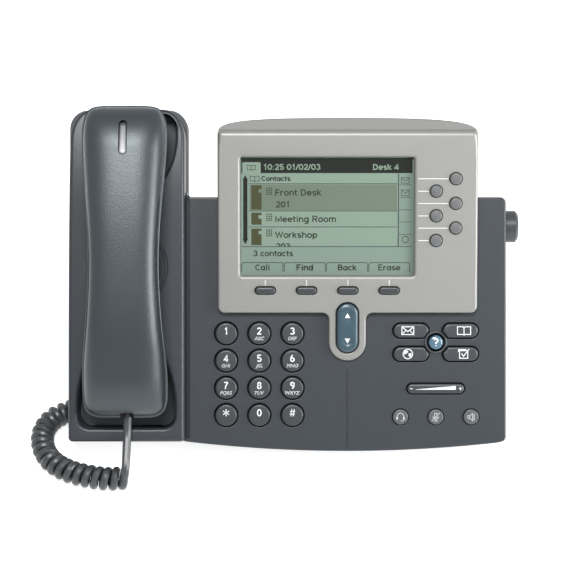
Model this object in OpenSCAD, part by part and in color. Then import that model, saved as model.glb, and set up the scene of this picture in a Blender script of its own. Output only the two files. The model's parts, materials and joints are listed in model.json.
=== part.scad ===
// Desk IP phone, in millimetres. X runs to the right, Y to the back and Z up.
// The origin is on the table, under the middle front foot.
// Most pieces are drawn in the face frame: x across the key panel, y up its slope, z out of it.

/* [Stance] */
// Tilt of the key panel above the table, in degrees
face_tilt = 52; // [48:1:56]
// Lean of the open footstand from the vertical, in degrees
stand_lean = 30; // [26:1:34]
// Height of the key panel's lower edge above the table
front_lift = 14; // [13.5:0.5:16]
// Thickness of the rubber feet
pad_t = 2; // [1.5:0.25:2.5]
// Width of a foot
foot_w = 20; // [16:1:20]

/* [Base] */
// Width of the whole base
body_w = 259; // [256:1:270]
// Width of the handset cradle
cradle_w = 70; // [70:1:72]
// Length of the cradle up the slope
cradle_l = 197; // [195:1:204]
// Length of the key panel up the slope
panel_l = 145; // [144:1:149]
// Height of the cradle's deck above the key panel
deck_h = 12; // [11:0.5:14]
// Wall of the housings
wall = 2.5; // [2:0.25:2.5]
// Depth of the parting line below the key panel
parting = 9; // [8.75:0.25:9.5]
// Thickness of the base at its front edge
front_t = 18; // [17:0.5:19]
// Depth of the connector bays below the key panel
bay_t = 36; // [36:0.5:39]
// Bow of the panel's front edge
bow = 5.5; // [3:0.5:6]
// Chamfer of the housing's upper edges
edge = 1.5; // [1:0.25:2]
// Width of the fine groove down the middle of the panel
groove_w = 0.8; // [0.5:0.1:1.2]

/* [Display head] */
// Width of the display bezel
head_w = 153; // [150:1:156]
// Height of the display bezel along its face
head_h = 107.5; // [106:0.5:112]
// Place of the bezel's lower edge up the panel
head_y = 76.4; // [76:0.2:78]
// How far the bezel's lower edge stands above the panel
head_lift = 5; // [4.6:0.2:5.6]
// Tilt of the bezel to the panel, in degrees
head_tilt = 5; // [4:0.5:6]
// Depth of the head at its middle
head_depth = 44; // [42:1:50]
// Slope of the head's roof, in degrees
roof_slope = 5.5; // [3:0.5:8]
// How far the head sits right of the panel's middle
head_shift = 0.4; // [0:0.2:1]
// Depth of the roof cap that belongs to the bezel
cap_l = 12; // [8:1:16]
// Wall of the bezel and the rear cover
head_wall = 2.5; // [2:0.25:3]
// Fillet along the bezel's front edges
head_r = 3.5; // [2.5:0.5:4.5]
// Width of the tab below the bezel
tab_w = 21.9; // [20:0.1:24]
// Length of the tab below the bezel
tab_l = 28.4; // [27:0.1:29]
// Width of the display opening
lcd_w = 102.1; // [96:0.1:104]
// Height of the display opening
lcd_h = 69.7; // [64:0.1:71]
// Depth of the window below the bezel's face
window_drop = 3.5; // [3:0.25:4]
// Thickness of the window
window_t = 1.5; // [1:0.25:1.6]

/* [Keys] */
// Diameter of a dial key
dial_d = 12.8; // [11:0.2:13.4]
// Gap around a dial or feature key
key_gap = 0.65; // [0.5:0.05:0.8]
// Gap around a small key
small_gap = 0.4; // [0.35:0.05:0.5]
// Spacing of the dial keys across
dial_pitch_x = 19.6; // [19:0.1:20.5]
// Spacing of the dial keys up the panel
dial_pitch_y = 16.1; // [15.8:0.1:16.4]
// How far the dial keys stand out
key_rise = 2; // [1.5:0.1:2.4]
// Travel of the panel's keys
key_travel = 1.2; // [0.8:0.1:1.2]
// Travel of the display's keys
small_travel = 0.8; // [0.5:0.1:0.9]
// Width of a feature key
feature_w = 21.8; // [20:0.2:22.6]
// Height of a feature key
feature_h = 9.1; // [8:0.1:9.6]
// Diameter of the help key
help_d = 8.5; // [7.5:0.1:9]
// Length of the volume rocker
volume_w = 35; // [32:0.5:37]
// Height of the volume rocker
volume_h = 6.7; // [6:0.1:8]
// Diameter of an audio key
audio_d = 9.1; // [8:0.1:10]
// Diameter of a line key
line_d = 7; // [6:0.1:7.4]
// Width of a soft key
soft_w = 11.8; // [10:0.1:13]
// Height of a soft key
soft_h = 4.1; // [3.6:0.1:4.6]
// Width of the up and down rocker
nav_w = 12.2; // [11:0.1:13]
// Length of the up and down rocker
nav_l = 29; // [27:0.5:30]

/* [Handset] */
// Length of the handset
hs_len = 181.4; // [176:0.2:182]
// Half width of the handset at its ends
hs_half = 24.8; // [23:0.2:25]
// How much the handset narrows at its grip
hs_waist = 4.3; // [3:0.1:6]
// Height of the handset's back above the panel
hs_top = 46; // [44:0.5:48]
// Height of the grip's underside above the panel
hs_grip = 27; // [26:0.5:28]
// Radius of the ear and mouth caps
cap_r = 24.2; // [22:0.2:24.2]
// Depth of the cradle's wells below the key panel
well_drop = 6; // [5:0.25:6]
// Gap around the caps in their wells
well_gap = 4.8; // [3.5:0.1:4.8]
// Wall of the handset shells
hs_wall = 2.2; // [1.8:0.1:2.6]
// Width of the message light
light_w = 4.9; // [4:0.1:6]
// Length of the message light
light_l = 19.4; // [17:0.2:22]

/* [Footstand] */
// Place of the hinge below the panel's upper edge
hinge_back = 17; // [17:0.5:18]
// Depth of the hinge axis below the panel
hinge_drop = 20; // [20:0.25:21]
// Diameter of the hinge pins
pin_d = 8; // [6:0.5:9]
// Radial clearance of the hinge pins
pin_fit = 0.15; // [0.1:0.05:0.2]
// Thickness of the footstand's plate
plate_t = 4; // [3:0.25:5]
// Diameter of the release button
button_d = 19.2; // [18:0.2:19.4]
// How far the release button stands out
button_rise = 8.6; // [7:0.2:10]
// Travel of the release button
button_travel = 2; // [1.5:0.25:3]
// Spacing of the wall-mount keyholes
keyhole_pitch = 102; // [96:1:110]
// Diameter of a keyhole's round end
keyhole_d = 9; // [8:0.5:10]

/* [Electronics] */
// Thickness of the circuit boards
board_t = 1.6; // [1.2:0.1:1.6]
// Diameter of the loudspeaker
speaker_d = 52; // [46:1:52]
// Width of a network jack
jack_w = 16.5; // [15.5:0.5:18]
// Depth of a network jack
jack_l = 18; // [16:0.5:20]
// Bore of the power jack
dc_bore = 6.4; // [5.6:0.1:6.6]
// Diameter of the power jack's centre pin
dc_pin = 2; // [1.6:0.1:2.6]

/* [Cord] */
// Diameter of the cord's wire
wire_d = 4.6; // [4:0.1:5]
// Outer diameter of the coil
coil_d = 14.5; // [13:0.1:14.5]

/* [Hidden] */
$fn = 48;

sin_t = sin(face_tilt);
cos_t = cos(face_tilt);
big = 500;
eps = 0.01;
gap = 0.3;                          // rest clearance between pieces that move apart
fit = 0.1;                          // clearance between pieces that don't move apart
x_left = -body_w / 2;
x_right = body_w / 2;
x_split = x_left + cradle_w;
x_mid = (x_split + x_right) / 2;
head_x = x_mid + head_shift;
hs_x = x_left + cradle_w / 2;
// Feet
foot_y = 5;                         // middle of the front feet up the slope
foot_l = 8;                         // their length up the slope
foot_x = [hs_x - foot_w / 2, 0, x_right - wall - foot_w / 2];
foot_row = (foot_y + (front_lift - pad_t) * sin_t) / cos_t;
// Key places and depths
flange_t = 1;
flange = 1.1;
dial_flange = min(flange, (min(dial_pitch_x, dial_pitch_y) - gap - dial_d) / 2 - key_gap);
key_foot = -wall - gap - flange_t;
head_foot = -head_wall - gap - flange_t;
nav_foot = -6.6;
edge_r = 0.6;
line_rise = 1.4;
soft_rise = 1.6;
nav_rise = 1.6;
volume_rise = 1.8;
audio_rise = 1.2;
dimple_r = 10;                      // radius of the rocker's two dimples
dimple_t = 0.6;
mat_edge = 3;
mat_top = -wall - gap - flange_t - key_travel - gap;
mat_t = 1.5;
board_z = mat_top - mat_t;
dial_x = x_split + 42.9;            // middle column of the dial keys
dial_y = 15.9;                      // bottom row of the dial keys
cluster_x = x_right - 41.7;         // middle of the right-hand keys
help_x = cluster_x;
help_y = 59;
help_cut = 15;                      // round bite that the feature keys leave for the help key
help_hole_d = 10.8;
help_ring_d = 13.6;
help_ring_h = 0.6;
feature_dx = 14.65;
feature_dy = 6.9;
volume_y = 31.6;
audio_y = 14.8;
audio_pitch = 20.9;
// Display head
head_in = head_w / 2 - head_wall - 1;
head_power = 3;
collar_w = 2;
lcd_x = -11.95;                     // middle of the display opening from the head's middle
lcd_y = 56.8;
nav_y = -8.9;
nav_low = head_lift + nav_y * sin(head_tilt) + nav_foot * cos(head_tilt);
soft_pitch = 24.33;
soft_y = 13.3;
line_pitch = 14.5;
panel_t = 3.4;                      // thickness of the display module
plug_top = -window_drop - window_t - 0.2;
head_board_z = plug_top - panel_t;
head_mat_top = -head_wall - gap - flange_t - small_travel - gap;
groove_y = head_y - tab_l - 5.4;
// Handset and its wells
hs_y0 = cradle_l - hs_len;
ear_y = cradle_l - 25;
mouth_y = hs_y0 + hs_half;
mouth_low = hs_y0 - 6.6;
hs_low = -well_drop + gap;
well_r = 5;
cap_top = 13;                       // the round caps reach up to here
hs_end_r = 9.5;
hs_crown = 17;
light_y = cradle_l - 19.5;
slot_x = hs_x + 1.2;
slot_w = 7.9;
slot_h = 7.4;
receiver_holes = [[5, 6], [10, 12]];
receiver_d = 32;
receiver_h = 8;
microphone_d = 9.7;
microphone_h = 6;
tab_half = 6;
tab_t = 2.4;
tab_y = ear_y - cap_r - well_gap - fit;
speaker_y = (ear_y + mouth_y) / 2 - 3;
grille_hole = 1.8;
grille = [for (k = [1:4]) [k * 4.1, 6 * k]];
plunger_y = ear_y - 6;
plunger_d = 6;
plunger_lift = 3;
plunger_foot = 4;                   // how far it reaches below the well's floor
// Base
cradle_top_r = 11;
cradle_low_r = 2;
panel_r = 3;
panel_half = (x_right - x_split) / 2;
deck_in = deck_h - wall;
floor_step = 1;
bay_y = 95;                         // connector bay's wall up the slope
hinge_y = panel_l - hinge_back;
pocket_y = hinge_y - 20;            // front wall of the footstand's pockets
cord_bay_y = pocket_y - 1;          // cradle bay's wall up the slope
cord_bay_t = 31;
cord_floor = front_t + floor_step;
panel_floor = front_t + 2 * floor_step;
pocket_z = parting + wall;
arm_w = 12;
arm_gap = 1;
pin_l = 6;
bay_x0 = x_split + 17;
bay_x1 = x_right - wall - arm_w - 2 * arm_gap - arm_gap;
button_fit = 0.35;
button_seat = 1;                    // how far the button starts inside its wall
stem_l = wall + 2 * arm_gap - button_travel - gap;    // its stem stops short of the footstand's arm
boss_d = 7;
pilot_d = 3.2;
screw_seat = parting + 4;
screw_d = 3;
screw_head_d = 5.6;
// Electronics
jack_h = 13.4;
jack_z = -bay_t + wall + board_t;
net_x = [head_x - 52, head_x - 28];
dc_x = head_x + 52;
dc_w = 9.4;
dc_h = 11;
cord_x = [hs_x, hs_x + 18];
cord_jack = 11;
cord_jack_z = -cord_bay_t + wall;
socket_w = 11.8;
socket_h = 8.2;
socket_l = 13;
cord_socket_w = 7.9;
cord_socket_h = 6.9;
cord_socket_l = 11;
small_jack_l = 14;                  // depth of the cord and power jacks
speaker_cone = 8;
riser_w = 50;                       // header between the two boards
riser_t = 3;
riser_back = 22.5;
// Footstand
arm_x = [bay_x0 - arm_gap - arm_w, bay_x1 + arm_gap];
window_r = 40;                      // the plate starts this far from the hinge
plate_r = 112;
hub_d = 16;
stand_foot_t = 8;
stem_d = 9;
// Cord
plug_w = 7.6;
plug_h = 6.6;
plug_l = 12;
lead_y = hs_y0 + 4;                 // plug's rear face in the handset
lead_z = 20 - slot_h / 2;
tail_y = cord_bay_y - 3;            // plug's rear face in the cradle
tail_z = cord_jack_z + cord_jack / 2;
coil_z = 7.3;

// Row-frame Y and Z of a face-frame point
function row_y(y, z) = y * cos_t - z * sin_t - foot_row;
function row_z(y, z) = y * sin_t + z * cos_t + front_lift;
function on_row(p) = [p[0], row_y(p[1], p[2]), row_z(p[1], p[2])];
// Points of an arc, from angle a0 to a1
function arc(x, y, r, a0, a1, n = 6) =
    [for (i = [0:n]) let (a = a0 + (a1 - a0) * i / n) [x + r * cos(a), y + r * sin(a)]];
// Points of an elliptical quarter, from angle a0 to a1
function oval(x, y, rx, ry, a0, a1, n = 8) =
    [for (i = [0:n]) let (a = a0 + (a1 - a0) * i / n) [x + rx * cos(a), y + ry * sin(a)]];

module on_face() translate([0, -foot_row, front_lift]) rotate([face_tilt, 0, 0]) children();
module to_head() translate([head_x, head_y, head_lift]) rotate([head_tilt, 0, 0]) children();
module on_leg() translate([0, row_y(hinge_y, -hinge_drop), row_z(hinge_y, -hinge_drop)])
    rotate([stand_lean, 0, 0]) children();
// A side view, drawn as y and z, pushed out along x
module along_x(x0, x1) translate([x0, 0, 0]) rotate([90, 0, 90]) linear_extrude(x1 - x0) children();
// A plan of x and z, pushed out along y
module along_y(y0, y1) translate([0, y1, 0]) rotate([90, 0, 0]) linear_extrude(y1 - y0) children();
module slab(z0, z1) translate([0, 0, z0]) linear_extrude(z1 - z0) children();
module box(x0, x1, y0, y1, z0, z1) translate([x0, y0, z0]) cube([x1 - x0, y1 - y0, z1 - z0]);
module disc(x, y, z0, z1, d) translate([x, y, z0]) cylinder(h = z1 - z0, d = d);
module pill(w, h) {
    r = min(w, h) / 2;
    square([w - (w > h ? 2 * r : 0), h - (w > h ? 0 : 2 * r)], center = true);
    for (s = [-1, 1]) translate(w > h ? [s * (w / 2 - r), 0] : [0, s * (h / 2 - r)]) circle(r = r);
}
module round_rect(x0, x1, y0, y1, r) {
    translate([x0 + r, y0]) square([x1 - x0 - 2 * r, y1 - y0]);
    translate([x0, y0 + r]) square([x1 - x0, y1 - y0 - 2 * r]);
    for (x = [x0 + r, x1 - r], y = [y0 + r, y1 - r]) translate([x, y]) circle(r = r);
}

// ---- Base ----

// Outline of the cradle, inset by i
function cradle_outline(i) = concat(
    arc(x_left + cradle_low_r, cradle_low_r, max(cradle_low_r - i, 0.5), 180, 270),
    arc(x_split - cradle_low_r, cradle_low_r, max(cradle_low_r - i, 0.5), 270, 360),
    arc(x_split - cradle_top_r, cradle_l - cradle_top_r, cradle_top_r - i, 0, 90),
    arc(x_left + cradle_top_r, cradle_l - cradle_top_r, cradle_top_r - i, 90, 180));
// Outline of the key panel, whose front edge is bowed, inset by i
function bow_at(s, i) = -bow * (1 - s * s) + i;
function panel_outline(i) = concat(
    [for (k = [-10:9]) [x_mid + k / 10 * (panel_half - i), bow_at(k / 10, i)]],
    arc(x_right - panel_r, bow_at(1, 0) + panel_r, panel_r - min(i, panel_r - 0.5), 300, 360),
    arc(x_right - panel_r, panel_l - panel_r, panel_r - min(i, panel_r - 0.5), 0, 90),
    [[x_split + i, panel_l - i]]);
module edged(z0, z1, lower, upper) hull() {
    slab(z0, z1 - edge) polygon(lower);
    slab(z1 - edge, z1) polygon(upper);
}
// The two wells that take the handset's caps, grown by i
module cradle_wells(i, z0, z1) slab(z0, z1) {
    r = cap_r + well_gap + i;
    ear_end = cradle_l - wall + i;
    intersection() {
        translate([hs_x, ear_y]) circle(r = r);
        translate([hs_x - r, ear_y - r]) square([2 * r, ear_end - ear_y + r - cradle_top_r]);
    }
    translate([hs_x - r, ear_y]) square([2 * r, cradle_top_r - wall]);
    round_rect(hs_x - r, hs_x + r, ear_y, ear_end, cradle_top_r - wall);
    translate([hs_x, mouth_y]) circle(r = r);
    round_rect(hs_x - r, hs_x + r, mouth_low - i, mouth_y, well_r);
    translate([hs_x - r, mouth_y - well_r]) square([2 * r, well_r]);
}
screw_list = [
    [x_split + 6.5, 10, panel_floor], [x_right - 6.5, 13, panel_floor],
    [x_split + 6.5, bay_y + 3, panel_floor], [x_right - 6.5, bay_y + 3, panel_floor],
    [x_split - 6.5, 78, cord_floor], [x_left + 5.5, 132, cord_bay_t]];

module top_housing() color("#4d5155") on_face() difference() {
    union() {
        difference() {
            union() {
                edged(-parting, deck_h, cradle_outline(0), cradle_outline(edge));
                edged(-parting, 0, panel_outline(0), panel_outline(edge));
            }
            slab(-parting - eps, deck_in) polygon(cradle_outline(wall));
            slab(-parting - eps, -wall) polygon(panel_outline(wall));
        }
        intersection() {
            cradle_wells(wall, -well_drop - wall, deck_h - edge);
            slab(-parting, deck_h) polygon(cradle_outline(eps));
        }
        for (s = screw_list) disc(s[0], s[1], -parting, s[0] < x_split ? deck_in + eps : -wall + eps, boss_d);
        disc(help_x, help_y, -eps, help_ring_h, help_ring_d);
    }
    cradle_wells(0, -well_drop, deck_h + 1);
    dial_each() disc(0, 0, -big, big, dial_d + 2 * key_gap);
    feature_each() feature_shape(key_gap, -big, big);
    disc(help_x, help_y, -big, big, help_hole_d);
    audio_each() disc(0, 0, -big, big, audio_d + 2 * small_gap);
    translate([cluster_x, volume_y, 0]) slab(-big, big) pill(volume_w + 2 * key_gap, volume_h + 2 * key_gap);
    to_head() translate([0, nav_y, 0]) slab(-big, big) pill(nav_w + 2 * key_gap, nav_l + 2 * key_gap);
    box(head_x - head_in, head_x + head_in, head_y + head_wall + gap, panel_l - wall, -big, big);
    box(head_x - groove_w / 2, head_x + groove_w / 2, -big, groove_y, -groove_w, big);
    for (s = screw_list) disc(s[0], s[1], -big, -wall - 1, pilot_d);
    for (ring = grille) for (k = [1:ring[1]]) translate([hs_x, speaker_y, 0])
        rotate([0, 0, k * 360 / ring[1]]) disc(ring[0], 0, -big, big, grille_hole);
    disc(hs_x, plunger_y, -big, 0, plunger_d + 2 * gap);
    box(hs_x - tab_half - fit, hs_x + tab_half + fit, tab_y - tab_t - fit, tab_y + fit,
        -well_drop + tab_t, deck_h + 1);
}

function deck_side(t0, t1, step_y, end_y) = [
    [-bow - 1, -parting], [-bow - 1, -front_t], [step_y, -t0], [step_y, -t1],
    [end_y - t1 / 6, -t1], [end_y + 1, -t1 + 6], [end_y + 1, -parting]];
module bottom_housing() color("#46494c") difference() {
    on_face() {
        bottom_shell();
        for (s = screw_list) disc(s[0], s[1], -s[2] + wall - eps, -parting, boss_d + 2);
    }
    // level soles for the feet
    translate([-big, -big, pad_t - big]) cube([2 * big, 2 * big, big]);
    on_face() for (s = screw_list) {
        disc(s[0], s[1], -big, -screw_seat, screw_head_d + 2 * gap);
        disc(s[0], s[1], -big, 0, screw_d + 2 * fit);
    }
}
module bottom_shell() difference() {
        union() {
            // the cradle's part reaches into the panel's, so that the two are one piece
            intersection() {
                slab(-bay_t, -parting) {
                    polygon(cradle_outline(0));
                    translate([x_split - wall, wall]) square([2 * wall, panel_l - 2 * wall]);
                }
                along_x(x_left, x_split + wall) polygon(deck_side(cord_floor, cord_bay_t, cord_bay_y, cradle_l));
            }
            intersection() {
                slab(-bay_t, -parting) polygon(panel_outline(0));
                along_x(x_split, x_right) polygon(deck_side(panel_floor, bay_t, bay_y, panel_l));
            }
            for (x = foot_x) box(x - foot_w / 2, x + foot_w / 2, foot_y - foot_l / 2, foot_y + foot_l / 2,
                -big / 2, -front_t + 0.5);
        }
        // inside of the cradle's part
        slab(-cord_floor + wall, 0) intersection() {
            polygon(cradle_outline(wall));
            translate([-big, -big]) square([2 * big, big + cord_bay_y + wall + eps]);
        }
        slab(-cord_bay_t + wall, 0) intersection() {
            polygon(cradle_outline(wall));
            translate([-big, cord_bay_y + wall]) square([2 * big, cradle_l - cord_bay_y - 3 * wall - 3]);
        }
        // inside of the panel's part
        slab(-front_t + wall, 0) intersection() {
            polygon(panel_outline(wall));
            translate([-big, -big]) square([2 * big, big + pocket_y - wall]);
        }
        box(bay_x0 + wall, bay_x1 - wall, bay_y + wall, panel_l - wall - 4, -bay_t + wall, 0);
        // beside the connector bay the base is shallow, and the footstand's arms have their pockets
        for (x = [[x_split, bay_x0], [bay_x1, x_right + 1]])
            box(x[0], x[1], bay_y - 1, pocket_y + eps, -big, -panel_floor);
        box(x_split, bay_x0, pocket_y, panel_l + 2, -big, -pocket_z);
        box(bay_x1, x_right - wall, pocket_y, panel_l + 2, -big, -pocket_z);
        for (x = [bay_x0 - 1, bay_x1 - pin_l]) translate([x, hinge_y, -hinge_drop]) rotate([0, 90, 0])
            cylinder(h = pin_l + 1, d = pin_d + 2 * pin_fit);
        translate([x_right - button_seat - button_travel - 1, hinge_y, -hinge_drop]) rotate([0, 90, 0])
            cylinder(h = 4 * wall, d = button_d + 2 * button_fit);
        // jack openings
        for (j = net_x) box(j - jack_w / 2 - fit, j + jack_w / 2 + fit, bay_y - 1, bay_y + 2 * wall,
            jack_z - fit, jack_z + jack_h + fit);
        box(dc_x - dc_w / 2 - fit, dc_x + dc_w / 2 + fit, bay_y - 1, bay_y + 2 * wall,
            jack_z - fit, jack_z + dc_h + fit);
        for (x = cord_x) box(x - cord_jack / 2 - fit, x + cord_jack / 2 + fit, cord_bay_y - 1,
            cord_bay_y + 2 * wall, cord_jack_z - fit, cord_jack_z + cord_jack + fit);
    }
module housing_screws() color("#8f8f8f") on_face() for (s = screw_list) {
    disc(s[0], s[1], -screw_seat, -wall - 2, screw_d);
    difference() {
        disc(s[0], s[1], -screw_seat - 2.2, -screw_seat, screw_head_d);
        for (a = [0, 90]) translate([s[0], s[1], -screw_seat - 2.2]) rotate([0, 0, a])
            cube([3.2, 0.8, 1.6], center = true);
    }
}
module base_feet() color("#26282a") for (x = foot_x)
    box(x - foot_w / 2 + 1, x + foot_w / 2 - 1, -foot_l / 2, foot_l / 2, 0, pad_t);
module handset_rest_tab() color("#4d5155") on_face()
    box(hs_x - tab_half, hs_x + tab_half, tab_y - tab_t, tab_y, -well_drop + tab_t, deck_h);

// ---- Display head ----
// Plan of the head, a flat front and a rounded back, inset by i
function head_plan(i) = let (a = head_w / 2 - i, d = head_depth - i, n = 14) concat(
    arc(a - head_r + i, -head_r, max(head_r - i, 0.5), 0, 90),
    arc(-a + head_r - i, -head_r, max(head_r - i, 0.5), 90, 180),
    [for (k = [1 - n:n - 1]) let (x = a * sin(90 * k / n)) [x, -d * pow(1 - pow(abs(x / a), head_power), 1 / head_power)]]);
// Side view of the head, as y and z, inset by i
function roof_y(z) = head_h - (z + head_r) * tan(roof_slope);
function head_side(i) = concat(
    [[i, -big / 4]],
    arc(1 + i, -1 - i, 1, 180, 90, 3),
    arc(head_h - head_r, -head_r, head_r - min(i, head_r - 0.5), 90, 0),
    [[roof_y(-big / 4) - i, -big / 4]]);
module head_form(i) intersection() {
    along_y(-1, big / 2) polygon(head_plan(i));
    along_x(-head_w, head_w) polygon(head_side(i));
    slab(-big / 4, 1) round_rect(-head_w / 2 + i, head_w / 2 - i, i, 2 * head_h, head_r - i / 2);
}
module above_panel() translate([-big, -big, 0]) cube(2 * big);
module behind_top() translate([-big, panel_l, -2 * big]) cube(2 * big);
module roof_part() to_head() translate([-big, head_h - cap_l, -big]) cube(2 * big);
module lcd_rect(grow, r) round_rect(lcd_x - lcd_w / 2 - grow, lcd_x + lcd_w / 2 + grow,
    lcd_y - lcd_h / 2 - grow, lcd_y + lcd_h / 2 + grow, r);
module soft_each() for (k = [0:3]) translate([lcd_x + (k - 1.5) * soft_pitch, soft_y, 0]) children();
module line_each() for (k = [0:5]) translate(concat(line_at(k), [0])) children();
// Line keys 1 to 3 are the right column, 4 to 6 the left one
function line_at(k) = [k < 3 ? 63.5 : 52, (k < 3 ? 79.1 : 71.8) - (k % 3) * line_pitch];

module display_bezel() color("#c8c9ca") on_face() difference() {
    union() {
        difference() {
            intersection() {
                to_head() head_form(0);
                union() {
                    above_panel();
                    roof_part();
                }
            }
            to_head() difference() {
                head_form(head_wall);
                translate([-big, -big, -head_wall]) cube(2 * big);
                slab(-window_drop, 0) lcd_rect(collar_w, 1);
            }
        }
        intersection() {
            to_head() slab(-3 * head_lift, 0) tab_plan();
            above_panel();
        }
    }
    to_head() {
        slab(-window_drop - 1, 1) lcd_rect(0, 1);
        soft_each() slab(-big / 10, 1) pill(soft_w + 2 * small_gap, soft_h + 2 * small_gap);
        line_each() disc(0, 0, -big / 10, 1, line_d + 2 * small_gap);
        translate([0, nav_y, 0]) slab(-big, big) pill(nav_w + 2 * key_gap, nav_l + 2 * key_gap);
    }
}
module tab_plan() {
    r = tab_w / 2;
    translate([0, -tab_l + r]) circle(r = r);
    translate([-r, -tab_l + r]) square([tab_w, tab_l - r + head_wall]);
    for (s = [-1, 1]) difference() {
        translate([s * (r + head_r / 2), -head_r / 2 + 0.5]) square([head_r, head_r + 1], center = true);
        translate([s * (r + head_r), -head_r]) circle(r = head_r);
    }
}
module display_rear_cover() color("#4a4d50") on_face() difference() {
    intersection() {
        to_head() head_form(0);
        behind_top();
        translate([-big, -big, -2 * big]) cube(2 * big);
    }
    to_head() head_form(head_wall);
    roof_part();
}
module display_window() color("#9aa79b") on_face() to_head()
    slab(-window_drop - window_t, -window_drop) lcd_rect(collar_w, 1);
module display_panel() color("#a3b8a6") on_face() to_head() slab(head_board_z, plug_top + 0.2) lcd_rect(4, 1);
module display_board() color("#2f5d3a") on_face() to_head()
    box(-head_in + 1, head_in - 1, head_wall + 2, head_h - cap_l, head_board_z - board_t, head_board_z);

// ---- Keys ----
module dial_each() for (c = [-1:1], r = [0:3]) dial_place(c, r) children();
module dial_place(c, r) translate([dial_x + c * dial_pitch_x, dial_y + r * dial_pitch_y, 0]) children();
module audio_each() for (k = [-1:1]) translate([cluster_x + k * audio_pitch, audio_y, 0]) children();
module feature_each() for (sx = [-1, 1], sy = [-1, 1])
    translate([help_x, help_y, 0]) scale_sign(sx, sy) children();
module scale_sign(sx, sy) mirror([sx < 0 ? 1 : 0, 0, 0]) mirror([0, sy < 0 ? 1 : 0, 0]) children();
// One feature key, up and right of the help key, grown by g
module feature_shape(g, z0, z1) slab(z0, z1) difference() {
    translate([feature_dx, feature_dy]) pill(feature_w + 2 * g, feature_h + 2 * g);
    circle(d = help_cut - 2 * min(g, key_gap));
}
module round_key(d, rise, grow, foot) {
    disc(0, 0, foot, rise - edge_r, d);
    translate([0, 0, rise - edge_r]) cylinder(h = edge_r, d1 = d, d2 = d - 2 * edge_r);
    disc(0, 0, foot, foot + flange_t, d + 2 * grow);
}
module dial_key(c, r) color("#4a4e51") on_face() dial_place(c, r)
    round_key(dial_d, key_rise, key_gap + dial_flange, key_foot);
module line_key(k) color("#8b8b8d") on_face() to_head() translate(concat(line_at(k), [0]))
    round_key(line_d, line_rise, small_gap + flange, head_foot);
module soft_key(k) color("#54585b") on_face() to_head() translate([lcd_x + (k - 1.5) * soft_pitch, soft_y, 0]) {
    slab(head_foot, soft_rise) pill(soft_w, soft_h);
    slab(head_foot, head_foot + flange_t) pill(soft_w + 2 * flange, soft_h + 2 * flange);
}
module nav_rocker() color("#4f6f80") on_face() to_head() translate([0, nav_y, 0]) difference() {
    slab(nav_foot, nav_rise) pill(nav_w, nav_l);
    for (s = [-1, 1]) translate([0, s * nav_l / 4, nav_rise + dimple_r - dimple_t]) sphere(r = dimple_r);
}
module feature_key(sx, sy) color("#4a4e51") on_face() translate([help_x, help_y, 0]) scale_sign(sx, sy) {
    feature_shape(0, key_foot, key_rise);
    feature_shape(flange, key_foot, key_foot + flange_t);
}
module help_key() color("#6a8a9b") on_face() translate([help_x, help_y, 0]) {
    disc(0, 0, key_foot, 1, help_d);
    intersection() {
        disc(0, 0, 0.9, key_rise + 1, help_d);
        translate([0, 0, key_rise - 5.4]) sphere(r = 6.2);
    }
    disc(0, 0, key_foot, key_foot + flange_t, help_hole_d + flange);
}
module volume_rocker() color("#4a4e51") on_face() translate([cluster_x, volume_y, 0])
    slab(key_foot, volume_rise) pill(volume_w, volume_h);
module audio_key(k) color("#6d7072") on_face() translate([cluster_x + k * audio_pitch, audio_y, 0])
    round_key(audio_d, audio_rise, small_gap + flange, key_foot);
// Rubber mats, with a fulcrum ridge under each rocker
module key_mats() color("#3a3c3e") on_face() {
    rim = dial_d / 2 + mat_edge;
    box(dial_x - dial_pitch_x - rim, dial_x + dial_pitch_x + rim, dial_y - rim, dial_y + 3 * dial_pitch_y + rim,
        board_z, mat_top);
    box(cluster_x - feature_dx - feature_w / 2 - 1, cluster_x + feature_dx + feature_w / 2 + 1,
        audio_y - audio_d, help_y + feature_dy + feature_h, board_z, mat_top);
    box(cluster_x - 1, cluster_x + 1, volume_y - volume_h / 2, volume_y + volume_h / 2,
        mat_top - eps, key_foot - gap);
    box(head_x - nav_w / 2 - 1, head_x + nav_w / 2 + 1, head_y + nav_y - nav_l / 2, head_y + nav_y + nav_l / 2,
        board_z, mat_top);
    box(head_x - nav_w / 2, head_x + nav_w / 2, head_y + nav_y, head_y + nav_y + 1, mat_top - eps, nav_low - gap);
    to_head() {
        box(lcd_x - 2 * soft_pitch, lcd_x + 2 * soft_pitch, soft_y - soft_h, soft_y + soft_h, head_board_z, head_mat_top);
        box(line_at(3)[0] - line_d / 2 - 2, line_at(0)[0] + line_d / 2 + 2, line_at(5)[1] - line_d, line_at(0)[1] + line_d,
            head_board_z, head_mat_top);
    }
}

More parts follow.
